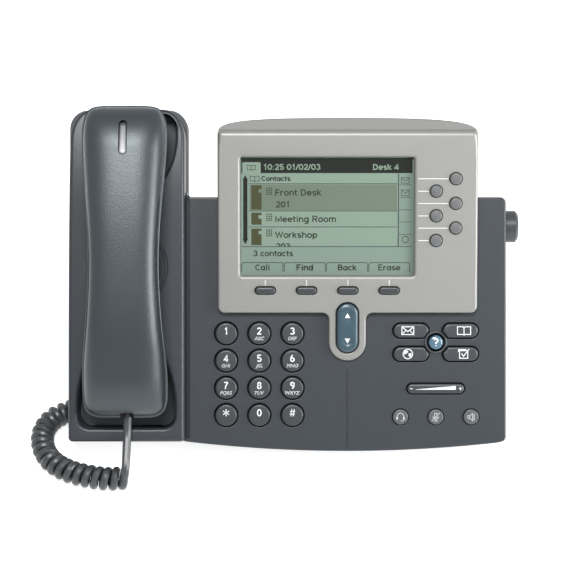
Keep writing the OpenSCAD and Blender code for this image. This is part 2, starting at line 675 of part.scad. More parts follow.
// ---- Electronics ----
module main_board() color("#2f5d3a") on_face() {
    box(x_split + 11, x_right - 13, 8, panel_l - wall - 10, board_z - board_t, board_z);
    box(bay_x0 + wall + 1, bay_x1 - wall - 1, bay_y + wall + 0.5, panel_l - wall - 5, -bay_t + wall, jack_z);
    box(head_x - riser_w / 2, head_x + riser_w / 2, panel_l - riser_back, panel_l - riser_back + riser_t,
        jack_z, board_z - board_t);
}
module jack(x, y, z, w, h, l, sw, sh, sl) difference() {
    box(x - w / 2, x + w / 2, y, y + l, z, z + h);
    box(x - sw / 2, x + sw / 2, y - 1, y + sl, z + (h - sh) / 2, z + (h + sh) / 2);
}
module rear_jacks() color("#2b2d2f") on_face() {
    for (x = net_x) jack(x, bay_y, jack_z, jack_w, jack_h, jack_l, socket_w, socket_h, socket_l);
    for (x = cord_x) jack(x, cord_bay_y, cord_jack_z, cord_jack, cord_jack, small_jack_l,
        cord_socket_w, cord_socket_h, cord_socket_l);
    difference() {
        box(dc_x - dc_w / 2, dc_x + dc_w / 2, bay_y, bay_y + small_jack_l, jack_z, jack_z + dc_h);
        translate([dc_x, bay_y - 1, jack_z + dc_h / 2]) rotate([-90, 0, 0])
            cylinder(h = small_jack_l - wall, d = dc_bore);
    }
    translate([dc_x, bay_y + 0.5, jack_z + dc_h / 2]) rotate([-90, 0, 0])
        cylinder(h = small_jack_l - 2, d = dc_pin);
}
module loudspeaker() color("#1f2022") on_face() {
    disc(hs_x, speaker_y, deck_in - 3, deck_in, speaker_d);
    translate([hs_x, speaker_y, deck_in - 3 - speaker_cone])
        cylinder(h = speaker_cone, d1 = speaker_d * 0.6, d2 = speaker_d - 4);
    disc(hs_x, speaker_y, deck_in - 3 - 2 * speaker_cone, deck_in - 3 - speaker_cone, speaker_d * 0.6);
}
module hook_plunger() color("#303234") on_face() {
    disc(hs_x, plunger_y, -well_drop - wall - plunger_foot, -well_drop, plunger_d);
    disc(hs_x, plunger_y, -well_drop - wall - plunger_foot, -well_drop - wall - plunger_lift - gap,
        plunger_d + 3);
}

// ---- Handset ----
// Half width of the handset at y
function hs_width(y) = let (a = hs_y0 + 18.4, b = cradle_l - 18, t = min(max((y - a) / (b - a), 0), 1))
    hs_half - hs_waist * pow(sin(180 * t), 2);
// One side of the plan, from the mouth end to the ear end, inset by i
function hs_side_points(i) = concat(
    [for (p = arc(0, hs_y0 + hs_end_r, hs_end_r - i, -90, 0)) [hs_half - hs_end_r + p[0], p[1]]],
    [for (k = [1:13]) let (y = hs_y0 + hs_end_r + k * (hs_len - hs_end_r - 14) / 14) [hs_width(y) - i, y]],
    oval(hs_half - 7, cradle_l - 14, 7 - i, 14 - i, 0, 90));
module hs_plan(i) translate([hs_x, 0]) for (s = [0, 1]) mirror([s, 0]) intersection() {
    polygon(concat([[-1, hs_y0 + i]], hs_side_points(i), [[-1, cradle_l - i]]));
    translate([-0.5, 0]) square(big);
}
// Side view of the handset as y and z, inset by i
function hs_profile(i) = concat(
    [[hs_y0 + 4.4 + i, hs_low + i], [hs_y0 + 2 + i, deck_h], [hs_y0 + i, 20]],
    oval(hs_y0 + 12, 20, 12 - i, hs_top - 27 - i, 180, 90),
    [for (k = [1:8]) let (t = k / 8) [hs_y0 + 12 + t * (hs_len - 12 - hs_crown),
        hs_top - 7 - i + 7 * sin(180 * t) * 0.98 + 2 * t]],
    oval(cradle_l - hs_crown, 26, hs_crown - i, hs_top - 31 - i, 90, 0),
    [[cradle_l - 1.5 - i, 20], [cradle_l - 4.5 - i, deck_h], [cradle_l - 7 - i, hs_low + i],
        [ear_y - cap_r - 1 + i, hs_low + i], [ear_y - cap_r - 3 + i, cap_top - 3 + i]],
    oval(ear_y - cap_r - 15, cap_top - 3, 11 + i, hs_grip - cap_top + 3 + i, 20, 90, 5),
    oval(mouth_y + cap_r + 15, cap_top - 3, 11 + i, hs_grip - cap_top + 3 + i, 90, 160, 5),
    [[mouth_y + cap_r + 3 - i, cap_top - 3 + i], [mouth_y + cap_r + 1 - i, hs_low + i]]);
module cap_plan(i) {
    for (y = [ear_y, mouth_y]) translate([hs_x, y]) circle(r = cap_r - i);
    translate([hs_x - cap_r + i, ear_y]) square([2 * (cap_r - i), hs_len]);
    translate([hs_x - cap_r + i, mouth_y - hs_len]) square([2 * (cap_r - i), hs_len]);
}
// Cross-section that rounds the handset's back, inset by i
function crown_points(i) = concat([[-hs_half - 1, -big / 4]],
    [for (k = [0:16]) let (a = 180 - k * 180 / 16, c = cos(a), s = sin(a))
        [(hs_half + 0.4 - i) * sign(c) * pow(abs(c), 0.6), 22 + (hs_top - 21 - i) * pow(s, 0.6)]],
    [[hs_half + 1, -big / 4]]);
module hs_form(i) intersection() {
    slab(-big / 4, big / 4) hs_plan(i);
    along_x(x_left - 1, x_split + 1) polygon(hs_profile(i));
    translate([hs_x, 0, 0]) along_y(-big, big) polygon(crown_points(i));
    union() {
        slab(cap_top - i, big / 4) square(2 * big, center = true);
        slab(-big / 4, cap_top) cap_plan(i);
    }
}
// Side view of what lies above the handset's parting line
module above_parting() along_x(-big, big) polygon([
    [-big, 20], [hs_y0, 20], [hs_y0 + 20, 23], [mouth_y + 35, hs_top - 12], [ear_y - 35, hs_top - 12],
    [cradle_l - 20, 26], [cradle_l, 24], [big, 24], [big, big], [-big, big]]);
module handset_back_shell() color("#505458") on_face() difference() {
    intersection() {
        difference() {
            hs_form(0);
            hs_form(hs_wall);
        }
        above_parting();
    }
    translate([hs_x, light_y, hs_grip]) slab(0, big) pill(light_w, light_l);
}
module handset_front_shell() color("#484b4e") on_face() difference() {
    hs_form(0);
    hs_form(hs_wall);
    above_parting();
    box(slot_x - slot_w / 2, slot_x + slot_w / 2, hs_y0 - 1, hs_y0 + 2 * hs_wall, 20 - slot_h, 20 + eps);
    for (ring = receiver_holes) for (k = [1:ring[1]]) translate([hs_x, ear_y, 0])
        rotate([0, 0, k * 360 / ring[1]]) disc(ring[0], 0, -big, 0, 2);
    disc(hs_x, mouth_y, -big, 0, 2.4);
}
module handset_light_strip() color("#c9c9cc") on_face() intersection() {
    hs_form(1.2);
    difference() {
        translate([hs_x, light_y, hs_grip + 2]) slab(0, big) pill(light_w - 2 * fit, light_l - 2 * fit);
        hs_form(hs_wall + 1.6);
    }
}
module on_cap(y, h, d) disc(hs_x, y, hs_low + hs_wall + fit, hs_low + hs_wall + fit + h, d);
module ear_receiver() color("#2b2d2f") on_face() on_cap(ear_y, receiver_h, receiver_d);
module mouth_microphone() color("#2b2d2f") on_face() on_cap(mouth_y, microphone_h, microphone_d);

// ---- Cord ----
module plug() box(-plug_w / 2, plug_w / 2, 0, plug_l, -plug_h / 2, plug_h / 2);
module handset_plug() color("#d5d5d5") on_face() translate([slot_x, lead_y, lead_z]) plug();
module base_plug() color("#d5d5d5") on_face() translate([cord_x[0], tail_y, tail_z]) plug();
coil_path = [for (p = [[-93, -47], [-105, -48], [-118, -45.5], [-130, -40.5], [-140, -31.5], [-146, -19],
    [-146.5, -6], [-141, 5], [-131, 12], [-118, 18], [-104, 26], [-92, 38], [-85, 52], [-81, 68], [-80, 85],
    [-81, 100], [-87, 113], [-98, 120], [-109, 117], [-115, 107], [-117, 94], [-117, 80]]) [p[0], p[1], coil_z]];
lead_path = [on_row([slot_x, lead_y - gap, lead_z]), on_row([slot_x, lead_y - 14, lead_z - 1.5]), [-95.5, -45, 18.5]];
tail_path = [[-117, 80, coil_z], [-117, 64, 7], [-115, 48, 9], [-110, 36, 16], [-103, 30, 28], [-97, 32, 41],
    [-95, 40, 54.3], on_row([cord_x[0], tail_y - 14, tail_z]), on_row([cord_x[0], tail_y, tail_z])];
function unit(v) = v / norm(v);
function heading(path, i) = unit(path[min(i + 1, len(path) - 1)] - path[max(i - 1, 0)]);
// Sideways direction of each ring, carried along the path without twist
function sides(path) = let (n = len(path), first = unit(cross(heading(path, 0), [0.3, 0.2, 1])))
    [for (i = 0, s = first; i < n; i = i + 1,
        s = i < n ? unit(s - (s * heading(path, i)) * heading(path, i)) : s) s];
module tube(path, d, n) {
    side = sides(path);
    rings = len(path);
    points = [for (i = [0:rings - 1], k = [0:n - 1]) let (t = heading(path, i), b = cross(t, side[i]), a = 360 * k / n)
        path[i] + d / 2 * (cos(a) * side[i] + sin(a) * b)];
    skin = [for (i = [0:rings - 2], k = [0:n - 1])
        [i * n + k, (i + 1) * n + k, (i + 1) * n + (k + 1) % n, i * n + (k + 1) % n]];
    polyhedron(points, concat(skin, [[for (k = [0:n - 1]) k]],
        [[for (k = [n - 1:-1:0]) (rings - 1) * n + k]]), convexity = 6);
}
module handset_cord_lead() color("#4a4d50") tube(lead_path, wire_d, 8);
module handset_cord_coil() color("#4a4d50") tube(coil_path, coil_d, 12);
module handset_cord_tail() color("#4a4d50") tube(tail_path, wire_d, 8);

// ---- Footstand ----
stand_foot_x = [for (s = [-1, 1]) (arm_x[0] + arm_x[1] + arm_w) / 2 + s * 58];
hinge_up = row_z(hinge_y, -hinge_drop) - pad_t;
stand_foot_row = row_y(hinge_y, -hinge_drop) + hinge_up * tan(stand_lean)
    + (arm_gap + stand_foot_t / 2) / cos(stand_lean);
module footstand() color("#3c3f42") difference() {
    on_leg() difference() {
        union() {
            for (x = arm_x) {
                translate([x, 0, 0]) rotate([0, 90, 0]) cylinder(h = arm_w, d = hub_d);
                box(x, x + arm_w, arm_gap, hub_d / 2 - 1, -window_r - 6, 0);
            }
            box(arm_x[0], arm_x[1] + arm_w, arm_gap, arm_gap + plate_t, -plate_r, -window_r);
            box(arm_x[0], arm_x[0] + 3, arm_gap, hub_d / 2 - 1, -plate_r, -window_r);
            box(arm_x[1] + arm_w - 3, arm_x[1] + arm_w, arm_gap, hub_d / 2 - 1, -plate_r, -window_r);
            for (x = stand_foot_x) box(x - foot_w / 2, x + foot_w / 2, arm_gap, arm_gap + stand_foot_t,
                -big / 2, -plate_r + 8);
            translate([arm_x[0] + arm_w - eps, 0, 0]) rotate([0, 90, 0]) cylinder(h = pin_l, d = pin_d);
            translate([arm_x[1] - pin_l + eps, 0, 0]) rotate([0, 90, 0]) cylinder(h = pin_l, d = pin_d);
        }
        for (s = [-1, 1]) translate([(arm_x[0] + arm_x[1] + arm_w) / 2 + s * keyhole_pitch / 2, 0, -78])
            rotate([-90, 0, 0]) {
                cylinder(h = 20, d = keyhole_d);
                translate([-keyhole_d / 4, -12, 0]) cube([keyhole_d / 2, 12, 20]);
            }
    }
    translate([-big, -big, pad_t - big]) cube([2 * big, 2 * big, big]);
}
module footstand_feet() color("#26282a") for (x = stand_foot_x)
    box(x - foot_w / 2 + 1, x + foot_w / 2 - 1, stand_foot_row - stand_foot_t / 2, stand_foot_row + stand_foot_t / 2,
        0, pad_t);
module footstand_button() color("#5a5d60") on_face() translate([x_right, hinge_y, -hinge_drop]) rotate([0, 90, 0]) {
    translate([0, 0, -button_seat]) cylinder(h = button_rise + button_seat - edge, d = button_d);
    translate([0, 0, button_rise - edge]) cylinder(h = edge, d1 = button_d, d2 = button_d - 2 * edge);
    translate([0, 0, -stem_l]) cylinder(h = stem_l, d = stem_d);
}

top_housing();
bottom_housing();
display_bezel();
display_rear_cover();
display_window();
display_panel();
display_board();
main_board();
key_mats();
loudspeaker();
rear_jacks();
housing_screws();
base_feet();
handset_rest_tab();
hook_plunger();
dial_key(-1, 3);  // key_1
dial_key(0, 3);  // key_2
dial_key(1, 3);  // key_3
dial_key(-1, 2);  // key_4
dial_key(0, 2);  // key_5
dial_key(1, 2);  // key_6
dial_key(-1, 1);  // key_7
dial_key(0, 1);  // key_8
dial_key(1, 1);  // key_9
dial_key(-1, 0);  // key_star
dial_key(0, 0);  // key_0
dial_key(1, 0);  // key_hash
soft_key(0);  // soft_key_1
soft_key(1);  // soft_key_2
soft_key(2);  // soft_key_3
soft_key(3);  // soft_key_4
line_key(0);  // line_key_1
line_key(1);  // line_key_2
line_key(2);  // line_key_3
line_key(3);  // line_key_4
line_key(4);  // line_key_5
line_key(5);  // line_key_6
nav_rocker();
feature_key(-1, 1);  // messages_key
feature_key(1, 1);  // directories_key
feature_key(-1, -1);  // services_key
feature_key(1, -1);  // settings_key
help_key();
volume_rocker();
audio_key(-1);  // headset_key
audio_key(0);  // mute_key
audio_key(1);  // speaker_key
handset_back_shell();
handset_front_shell();
handset_light_strip();
ear_receiver();
mouth_microphone();
handset_plug();
handset_cord_lead();
handset_cord_coil();
handset_cord_tail();
base_plug();
footstand();
footstand_feet();
footstand_button();
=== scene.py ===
import json
import math

import bmesh
import bpy
import numpy as np
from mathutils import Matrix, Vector
from mathutils.geometry import delaunay_2d_cdt

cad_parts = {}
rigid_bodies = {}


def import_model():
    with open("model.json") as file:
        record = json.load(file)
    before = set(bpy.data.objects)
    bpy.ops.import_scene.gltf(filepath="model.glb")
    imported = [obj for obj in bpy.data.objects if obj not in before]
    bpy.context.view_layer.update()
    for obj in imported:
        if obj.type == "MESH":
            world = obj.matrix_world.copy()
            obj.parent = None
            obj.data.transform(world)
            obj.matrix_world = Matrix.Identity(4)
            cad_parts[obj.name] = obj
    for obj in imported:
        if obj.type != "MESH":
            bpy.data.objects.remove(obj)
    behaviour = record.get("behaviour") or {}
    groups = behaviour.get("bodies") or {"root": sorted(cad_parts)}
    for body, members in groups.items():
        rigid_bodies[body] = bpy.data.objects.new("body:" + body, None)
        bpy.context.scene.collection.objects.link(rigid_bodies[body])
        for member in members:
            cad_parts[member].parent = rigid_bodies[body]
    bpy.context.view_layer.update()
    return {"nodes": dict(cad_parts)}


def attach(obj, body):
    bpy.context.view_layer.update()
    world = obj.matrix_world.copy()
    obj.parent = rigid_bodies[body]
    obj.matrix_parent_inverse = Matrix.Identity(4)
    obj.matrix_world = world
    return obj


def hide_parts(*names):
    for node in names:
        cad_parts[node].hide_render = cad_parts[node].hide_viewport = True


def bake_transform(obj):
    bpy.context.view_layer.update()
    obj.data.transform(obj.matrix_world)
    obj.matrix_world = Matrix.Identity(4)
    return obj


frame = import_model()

MM = 0.001

# ---- Frames ----
FACE_TILT = math.radians(52)        # the key panel leans back this far from the table
HEAD_TILT = math.radians(57)        # the display head leans back 5 degrees more
LEG_LEAN = math.radians(30)         # the footstand leans this far from the vertical
FACE_ORIGIN = np.array([0, -23.481, 14.0])      # foot of the key panel, 14 mm over the table


def place(points, tilt, origin):
    """Points of a sloping frame, in mm, as row-frame points in mm: turned about X by tilt, then moved to
    origin."""
    p = np.asarray(points, float)
    c, s = math.cos(tilt), math.sin(tilt)
    return np.stack([p[..., 0], c * p[..., 1] - s * p[..., 2], s * p[..., 1] + c * p[..., 2]], -1) + origin


FACE = (FACE_TILT, FACE_ORIGIN)
HEAD = (HEAD_TILT, place([35.4, 76.4, 5.0], *FACE))
LEG = (LEG_LEAN, place([0, 128, -20], *FACE))
ROW = (0.0, np.zeros(3))


# ---- Outlines: closed loops of points, anticlockwise ----
def arc(x, y, rx, ry, a0, a1, n):
    """n + 1 points of an elliptical arc about x, y, from angle a0 to a1 in degrees."""
    a = np.radians(np.linspace(a0, a1, n + 1))
    return np.stack([x + rx * np.cos(a), y + ry * np.sin(a)], 1)


def circle(x, y, r, n):
    """A circle of radius r about x, y."""
    return arc(x, y, r, r, 0, 360, n)[:-1]


def rounded(x0, x1, y0, y1, r, n):
    """A rectangle whose corners are quarter circles of radius r."""
    return joined(arc(x0 + r, y0 + r, r, r, 180, 270, n), arc(x1 - r, y0 + r, r, r, 270, 360, n),
                  arc(x1 - r, y1 - r, r, r, 0, 90, n), arc(x0 + r, y1 - r, r, r, 90, 180, n))


def pill(x, y, w, h, n=12):
    """A slot shape about x, y: a rectangle with half-round ends."""
    return rounded(x - w / 2, x + w / 2, y - h / 2, y + h / 2, min(w, h) / 2 - 1e-4, n)


def joined(*parts):
    """Stretches of points as one loop, without points that repeat."""
    loop = np.vstack(parts)
    return loop[np.linalg.norm(loop - np.roll(loop, 1, 0), axis=1) > 1e-3]


def upright(x, y0, y1, n):
    """n points of a straight side at x, from y0 to y1."""
    return np.column_stack([np.full(n, x), np.linspace(y0, y1, n)])


def around(n):
    """n equal steps of a full turn, in radians."""
    return np.linspace(0, 2 * np.pi, n, endpoint=False)


def quarter(n):
    """n + 1 angles from zero to a right angle, in radians."""
    return np.radians(np.linspace(0, 90, n + 1))


def grown(loop, d):
    """The loop moved outwards by d: each point goes along the mean of its two edge normals, over its
    cosine."""
    edge = np.roll(loop, -1, 0) - loop
    normal = np.stack([edge[:, 1], -edge[:, 0]], 1) / np.linalg.norm(edge, axis=1)[:, None]
    before = np.roll(normal, 1, 0)
    return loop + d * (normal + before) / (1 + (normal * before).sum(1))[:, None].clip(0.3)


def raised(loop, z):
    """Points of the plane at height z, which is one height or one for each point."""
    return np.column_stack([loop, np.broadcast_to(z, len(loop))])


def swept(loop, profile, inwards=False):
    """A profile carried round a loop: each of its (outwards, height) pairs gives one ring."""
    way = -1 if inwards else 1
    return np.array([raised(grown(loop, way * d), z) for d, z in profile])


# ---- Meshes ----
class Shape:
    """Points and faces of one piece, gathered from grids and flats, each with a material's number."""

    def __init__(self):
        self.points, self.faces, self.inks, self.count = [], [], [], 0

    def add(self, points, faces, ink=0):
        self.points.append(np.asarray(points, float).reshape(-1, 3))
        self.faces += (np.asarray(faces, int) + self.count).tolist()
        self.inks += [ink] * len(faces)
        self.count += len(self.points[-1])
        return self

    def grid(self, rows, ink=0, across=True, along=False):
        """Quads over a grid of points, joined round across the rows, and along them if asked."""
        m, n = rows.shape[:2]
        number = np.arange(m * n).reshape(m, n)
        if across:
            number = np.concatenate([number, number[:, :1]], 1)
        if along:
            number = np.concatenate([number, number[:1]], 0)
        quads = np.stack([number[:-1, :-1], number[:-1, 1:], number[1:, 1:], number[1:, :-1]], -1)
        return self.add(rows, quads.reshape(-1, 4), ink)

    def flat(self, outer, holes=(), z=0.0, ink=0):
        """A flat sheet at height z inside one loop and outside the others: Delaunay triangles that keep the
        loops' edges."""
        loops = [outer, *holes]
        points = np.concatenate(loops)
        starts = np.cumsum([0] + [len(loop) for loop in loops])
        edges = [(a + k, a + (k + 1) % (b - a)) for a, b in zip(starts, starts[1:]) for k in range(b - a)]
        flat, _, tris, _, _, _ = delaunay_2d_cdt([Vector(p) for p in points], edges, [], 0, 1e-5)
        flat = np.array(flat)
        tris = np.array([t for t in tris if len(t) == 3])
        middle = flat[tris].mean(1)
        keep = inside(middle, outer)
        for hole in holes:
            keep &= ~inside(middle, hole)
        return self.add(raised(flat, z), tris[keep], ink)

    def pit(self, loop, top, bottom, ink):
        """A straight wall round a loop from top down to bottom, and a flat floor there."""
        return self.grid(swept(loop, [(0, top), (0, bottom)])).flat(loop, (), bottom, ink)


def inside(points, loop):
    """Whether each point is inside the loop, by the number of edges that a ray to +X crosses."""
    a, b = loop, np.roll(loop, -1, 0)
    x, y = points[:, :1], points[:, 1:]
    straddles = (a[:, 1] > y) != (b[:, 1] > y)
    slope = np.where(np.abs(b[:, 1] - a[:, 1]) < 1e-12, 1e-12, b[:, 1] - a[:, 1])
    return (straddles & (x < a[:, 0] + (y - a[:, 1]) * (b[:, 0] - a[:, 0]) / slope)).sum(1) % 2 == 1


def piece(name, shape, where, finishes, body, replaces=(), sharp=35, outward=None, weighted=True):
    """A piece of the phone: the shape put in the row frame, its doubles merged, its faces turned outwards
    and smoothed up to the sharp angle, riding on a body, or on none."""
    finishes = finishes if isinstance(finishes, (list, tuple)) else [finishes]
    mesh = bpy.data.meshes.new(name)
    mesh.from_pydata((place(np.concatenate(shape.points), *where) * MM).tolist(), [], shape.faces)
    for finish in finishes:
        mesh.materials.append(finish)
    mesh.polygons.foreach_set("material_index", shape.inks)
    bm = bmesh.new()
    bm.from_mesh(mesh)
    bmesh.ops.remove_doubles(bm, verts=bm.verts, dist=4e-6)
    bmesh.ops.dissolve_degenerate(bm, edges=bm.edges, dist=1e-7)
    bmesh.ops.recalc_face_normals(bm, faces=bm.faces)
    if outward is not None:
        way = place(outward, where[0], 0)
        if sum(f.calc_area() * f.normal.dot(way) for f in bm.faces) < 0:
            bmesh.ops.reverse_faces(bm, faces=bm.faces)
    bm.to_mesh(mesh)
    bm.free()
    mesh.shade_smooth()
    mesh.set_sharp_from_angle(angle=math.radians(sharp))
    thing = bpy.data.objects.new(name, mesh)
    bpy.context.scene.collection.objects.link(thing)
    if weighted:
        bend = thing.modifiers.new("even_shading", "WEIGHTED_NORMAL")
        bend.keep_sharp = True
    if body:
        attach(thing, body)
    if replaces:
        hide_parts(*replaces)
    return thing


def carried(line, start):
    """Two directions square to a line at each of its points. The first is start, carried along without twist
    by taking away its part along the line each time; the second is square to it and to the line."""
    ahead = np.gradient(line, axis=0)
    ahead /= np.linalg.norm(ahead, axis=1)[:, None]
    side, turned = np.asarray(start, float), []
    for t in ahead:
        side = side - t * (side @ t)
        side = side / np.linalg.norm(side)
        turned.append(side)
    return np.array(turned), np.cross(ahead, np.array(turned))


def travelled(line):
    """How far along the line each of its points lies."""
    return np.concatenate([[0], np.cumsum(np.linalg.norm(np.diff(line, axis=0), axis=1))])


def follow(path, radius, sides=10):
    """A round tube along a path: circles of the given radius about it, square to it, without twist."""
    askew = [0.31, 0.2, 0.93]           # a direction that no path here sets out in
    side, up = carried(path, np.cross(path[1] - path[0], askew))
    a = around(sides)[None, :, None]
    return path[:, None] + radius * (np.cos(a) * side[:, None] + np.sin(a) * up[:, None])


def capped(rows):
    """A tube's grid of rings, closed at both ends by a fan to each ring's middle."""
    shape = Shape().grid(rows)
    n = rows.shape[1]
    for ring in (rows[0], rows[-1]):
        fan = [[k, (k + 1) % n, n] for k in range(n)]
        shape.add(np.vstack([ring, ring.mean(0)]), fan)
    return shape


def smooth_path(points, step):
    """A Catmull-Rom curve through the points, cut into equal steps of about the given length."""
    p = np.asarray(points, float)
    p = np.vstack([2 * p[0] - p[1], p, 2 * p[-1] - p[-2]])
    t = np.linspace(0, 1, 24, endpoint=False)[:, None]
    runs = [0.5 * (2 * b + (c - a) * t + (2 * a - 5 * b + 4 * c - d) * t ** 2
                   + (3 * b - a - 3 * c + d) * t ** 3)
            for a, b, c, d in zip(p, p[1:], p[2:], p[3:])]
    return evenly(np.vstack(runs + [p[-2:-1]]), step)


def evenly(line, step):
    """The line's points moved to equal distances along it."""
    far = travelled(line)
    at = np.linspace(0, far[-1], max(2, round(far[-1] / step) + 1))
    return np.stack([np.interp(at, far, line[:, k]) for k in range(3)], 1)


# ---- Camera ----
# It looks square onto the key panel from 1.25 m away, at a point 93 mm up the slope.
VIEW_FAR = 1250.0
VIEW_AT = [-1.4, 92.9]
VIEW_WIDE = 337.4                   # how much of the panel's plane the view takes in, from left to right
camera = bpy.data.objects.new("view", bpy.data.cameras.new("view"))
camera.data.sensor_width = 36
camera.data.lens = camera.data.sensor_width * VIEW_FAR / VIEW_WIDE
camera.location = Vector(place([*VIEW_AT, VIEW_FAR], *FACE) * MM)
camera.rotation_euler = (FACE_TILT, 0, 0)
camera.data.clip_end = 20
bpy.context.scene.collection.objects.link(camera)
bpy.context.scene.camera = camera


# ---- Finishes ----
def linear(colour):
    """An sRGB hex colour as linear red, green, blue and alpha."""
    c = np.array([int(colour[k:k + 2], 16) for k in (1, 3, 5)]) / 255
    return (*np.where(c <= 0.04045, c / 12.92, ((c + 0.055) / 1.055) ** 2.4).tolist(), 1.0)


def add(tree, kind, inputs=None, **settings):
    """One node with its settings; each input takes a value, or is linked to another node's socket."""
    node = tree.nodes.new(kind)
    for name, value in settings.items():
        setattr(node, name, value)
    for name, value in (inputs or {}).items():
        if isinstance(value, bpy.types.NodeSocket):
            tree.links.new(value, node.inputs[name])
        else:
            node.inputs[name].default_value = value
    return node


def finish(name, colour, roughness, grain=None, bump=0.0, mottle=0.0, cloud=None, **sockets):
    """A moulded or painted surface. grain is the size of its texture in mm and bump that texture's height
    in mm; mottle is how much the colour varies with the grain and with clouds of size cloud, in mm."""
    material = bpy.data.materials.new(name)
    material.use_nodes = True
    tree = material.node_tree
    tree.nodes.clear()
    shader = add(tree, "ShaderNodeBsdfPrincipled", {"Base Color": linear(colour), "Roughness": roughness})
    for socket, value in sockets.items():
        shader.inputs[socket.replace("_", " ")].default_value = value
    if grain:
        where = add(tree, "ShaderNodeTexCoord").outputs["Object"]
        pits = add(tree, "ShaderNodeTexNoise", {
            "Vector": where, "Scale": 1000 / grain, "Detail": 3.0, "Roughness": 0.6})
        relief = add(tree, "ShaderNodeBump", {
            "Height": pits.outputs["Fac"], "Strength": 1.0, "Distance": bump * MM})
        tree.links.new(relief.outputs["Normal"], shader.inputs["Normal"])
        tone = pits.outputs["Fac"]
        if cloud:
            drift = add(tree, "ShaderNodeTexNoise", {"Vector": where, "Scale": 1000 / cloud, "Detail": 2.0})
            tone = add(tree, "ShaderNodeMath", {0: tone, 1: drift.outputs["Fac"]}, operation="ADD").outputs[0]
        if mottle:
            span = 2.0 if cloud else 1.0
            shade = add(tree, "ShaderNodeMapRange", {
                "Value": tone, "From Min": 0.3 * span, "From Max": 0.7 * span,
                "To Min": 1 - mottle, "To Max": 1 + mottle})
            paint = add(tree, "ShaderNodeVectorMath", {
                0: linear(colour)[:3], "Scale": shade.outputs["Result"]}, operation="SCALE")
            tree.links.new(paint.outputs["Vector"], shader.inputs["Base Color"])
    out = add(tree, "ShaderNodeOutputMaterial", {"Surface": shader.outputs["BSDF"]})
    out.target = "ALL"
    return material


# Moulded ABS, spark-eroded mould: a fine even grain that breaks up highlights into points.
housing = finish("ABS_blue_grey_fine_grain", "#2d3237", 0.36, grain=0.9, bump=0.05, mottle=0.06, cloud=14,
                 Specular_IOR_Level=0.42)
# The same ABS from a plainer mould, on the sides that face away: duller.
underside = finish("ABS_dark_grey_underside", "#3b3f43", 0.5, grain=0.9, bump=0.05, mottle=0.06, cloud=14)
# The handset's ABS comes from a smoother mould, so that its highlights are long and only slightly grainy.
handset_abs = finish("ABS_handset_satin", "#11191f", 0.37, grain=0.8, bump=0.1, mottle=0.05, cloud=20,
                     Specular_IOR_Level=0.8, Specular_Tint=(0.88, 0.96, 1.0, 1.0))
# Silver lacquer over ABS: fine metal flakes, satin, brighter where it faces a lamp.
silver = finish("silver_lacquer_satin", "#8a8a87", 0.42, grain=0.6, bump=0.01, mottle=0.03, cloud=25,
                Metallic=0.35)
# The same lacquer on the fine ridges, glossier, and painted paler as a painted highlight where they catch the
# light.
ridge_silver_highlight = finish("silver_lacquer_ridge_painted_highlight", "#e2e3e3", 0.35, grain=0.6, bump=0.005, Metallic=0.2)
# Silicone keys with a hard satin lacquer: soft highlights along their rolled edges.
key_grey = finish("key_dark_satin_lacquer", "#303337", 0.34, grain=0.6, bump=0.008, mottle=0.03)
soft_key_grey = finish("soft_key_satin_lacquer", "#333639", 0.32, grain=0.6, bump=0.008, mottle=0.03)
# Translucent silicone, through which a lamp would shine: milky and paler.
line_key_grey = finish("line_key_translucent_grey", "#5f6062", 0.4, grain=0.6, bump=0.006, mottle=0.03,
                       Subsurface_Weight=0.1)
audio_key_grey = finish("audio_key_translucent_grey", "#4e5154", 0.38, grain=0.6, bump=0.006, mottle=0.04,
                        Subsurface_Weight=0.1)
# Blue keys with a clear lacquer: small sharp highlights.
rocker_blue = finish("rocker_blue_gloss", "#2c4652", 0.3, grain=5, bump=0.004, mottle=0.04, Coat_Weight=0.25,
                     Coat_Roughness=0.15)
help_blue = finish("help_key_blue_gloss", "#48697c", 0.15, grain=5, bump=0.004, mottle=0.04, Coat_Weight=0.6,
                   Coat_Roughness=0.06)
# Pad-printed ink: matt and thin.
white_ink = finish("pad_printed_white_ink", "#dfe1e1", 0.6, grain=0.3, bump=0.003, mottle=0.03)
grey_ink = finish("pad_printed_light_grey_ink", "#b9bcbd", 0.6, grain=0.3, bump=0.003, mottle=0.03)
# Silicone mat, moulded black: it darkens the gaps under and round the keys. The same black is also painted
# shade where it lines slots and notches and floors sound holes, vent slots and openings.
black_mat_and_shade = finish("silicone_mat_black_and_painted_shade", "#141516", 0.7, grain=1, bump=0.02, mottle=0.1)
# Rubber feet, moulded: dull black.
rubber = finish("rubber_foot_black", "#1c1d1e", 0.8, grain=0.5, bump=0.05, mottle=0.1)
# PBT jacks, moulded: satin black.
jack_black = finish("PBT_jack_black", "#17181a", 0.45, grain=0.6, bump=0.02, mottle=0.06)
# Zinc-plated steel screws: small cool glints.
zinc = finish("zinc_plated_steel_screw", "#a8a9aa", 0.35, grain=1.2, bump=0.01, mottle=0.06, Metallic=1.0)
# Bare polyester label foil, matt coated: an even pale grey without a sharp reflection.
foil = finish("label_foil_matt", "#85878a", 0.5, grain=0.5, bump=0.003, mottle=0.03)
# Printed circuit board under solder mask: glossy green.
board_green = finish("solder_mask_green", "#24523a", 0.35, grain=3, bump=0.01, mottle=0.06)


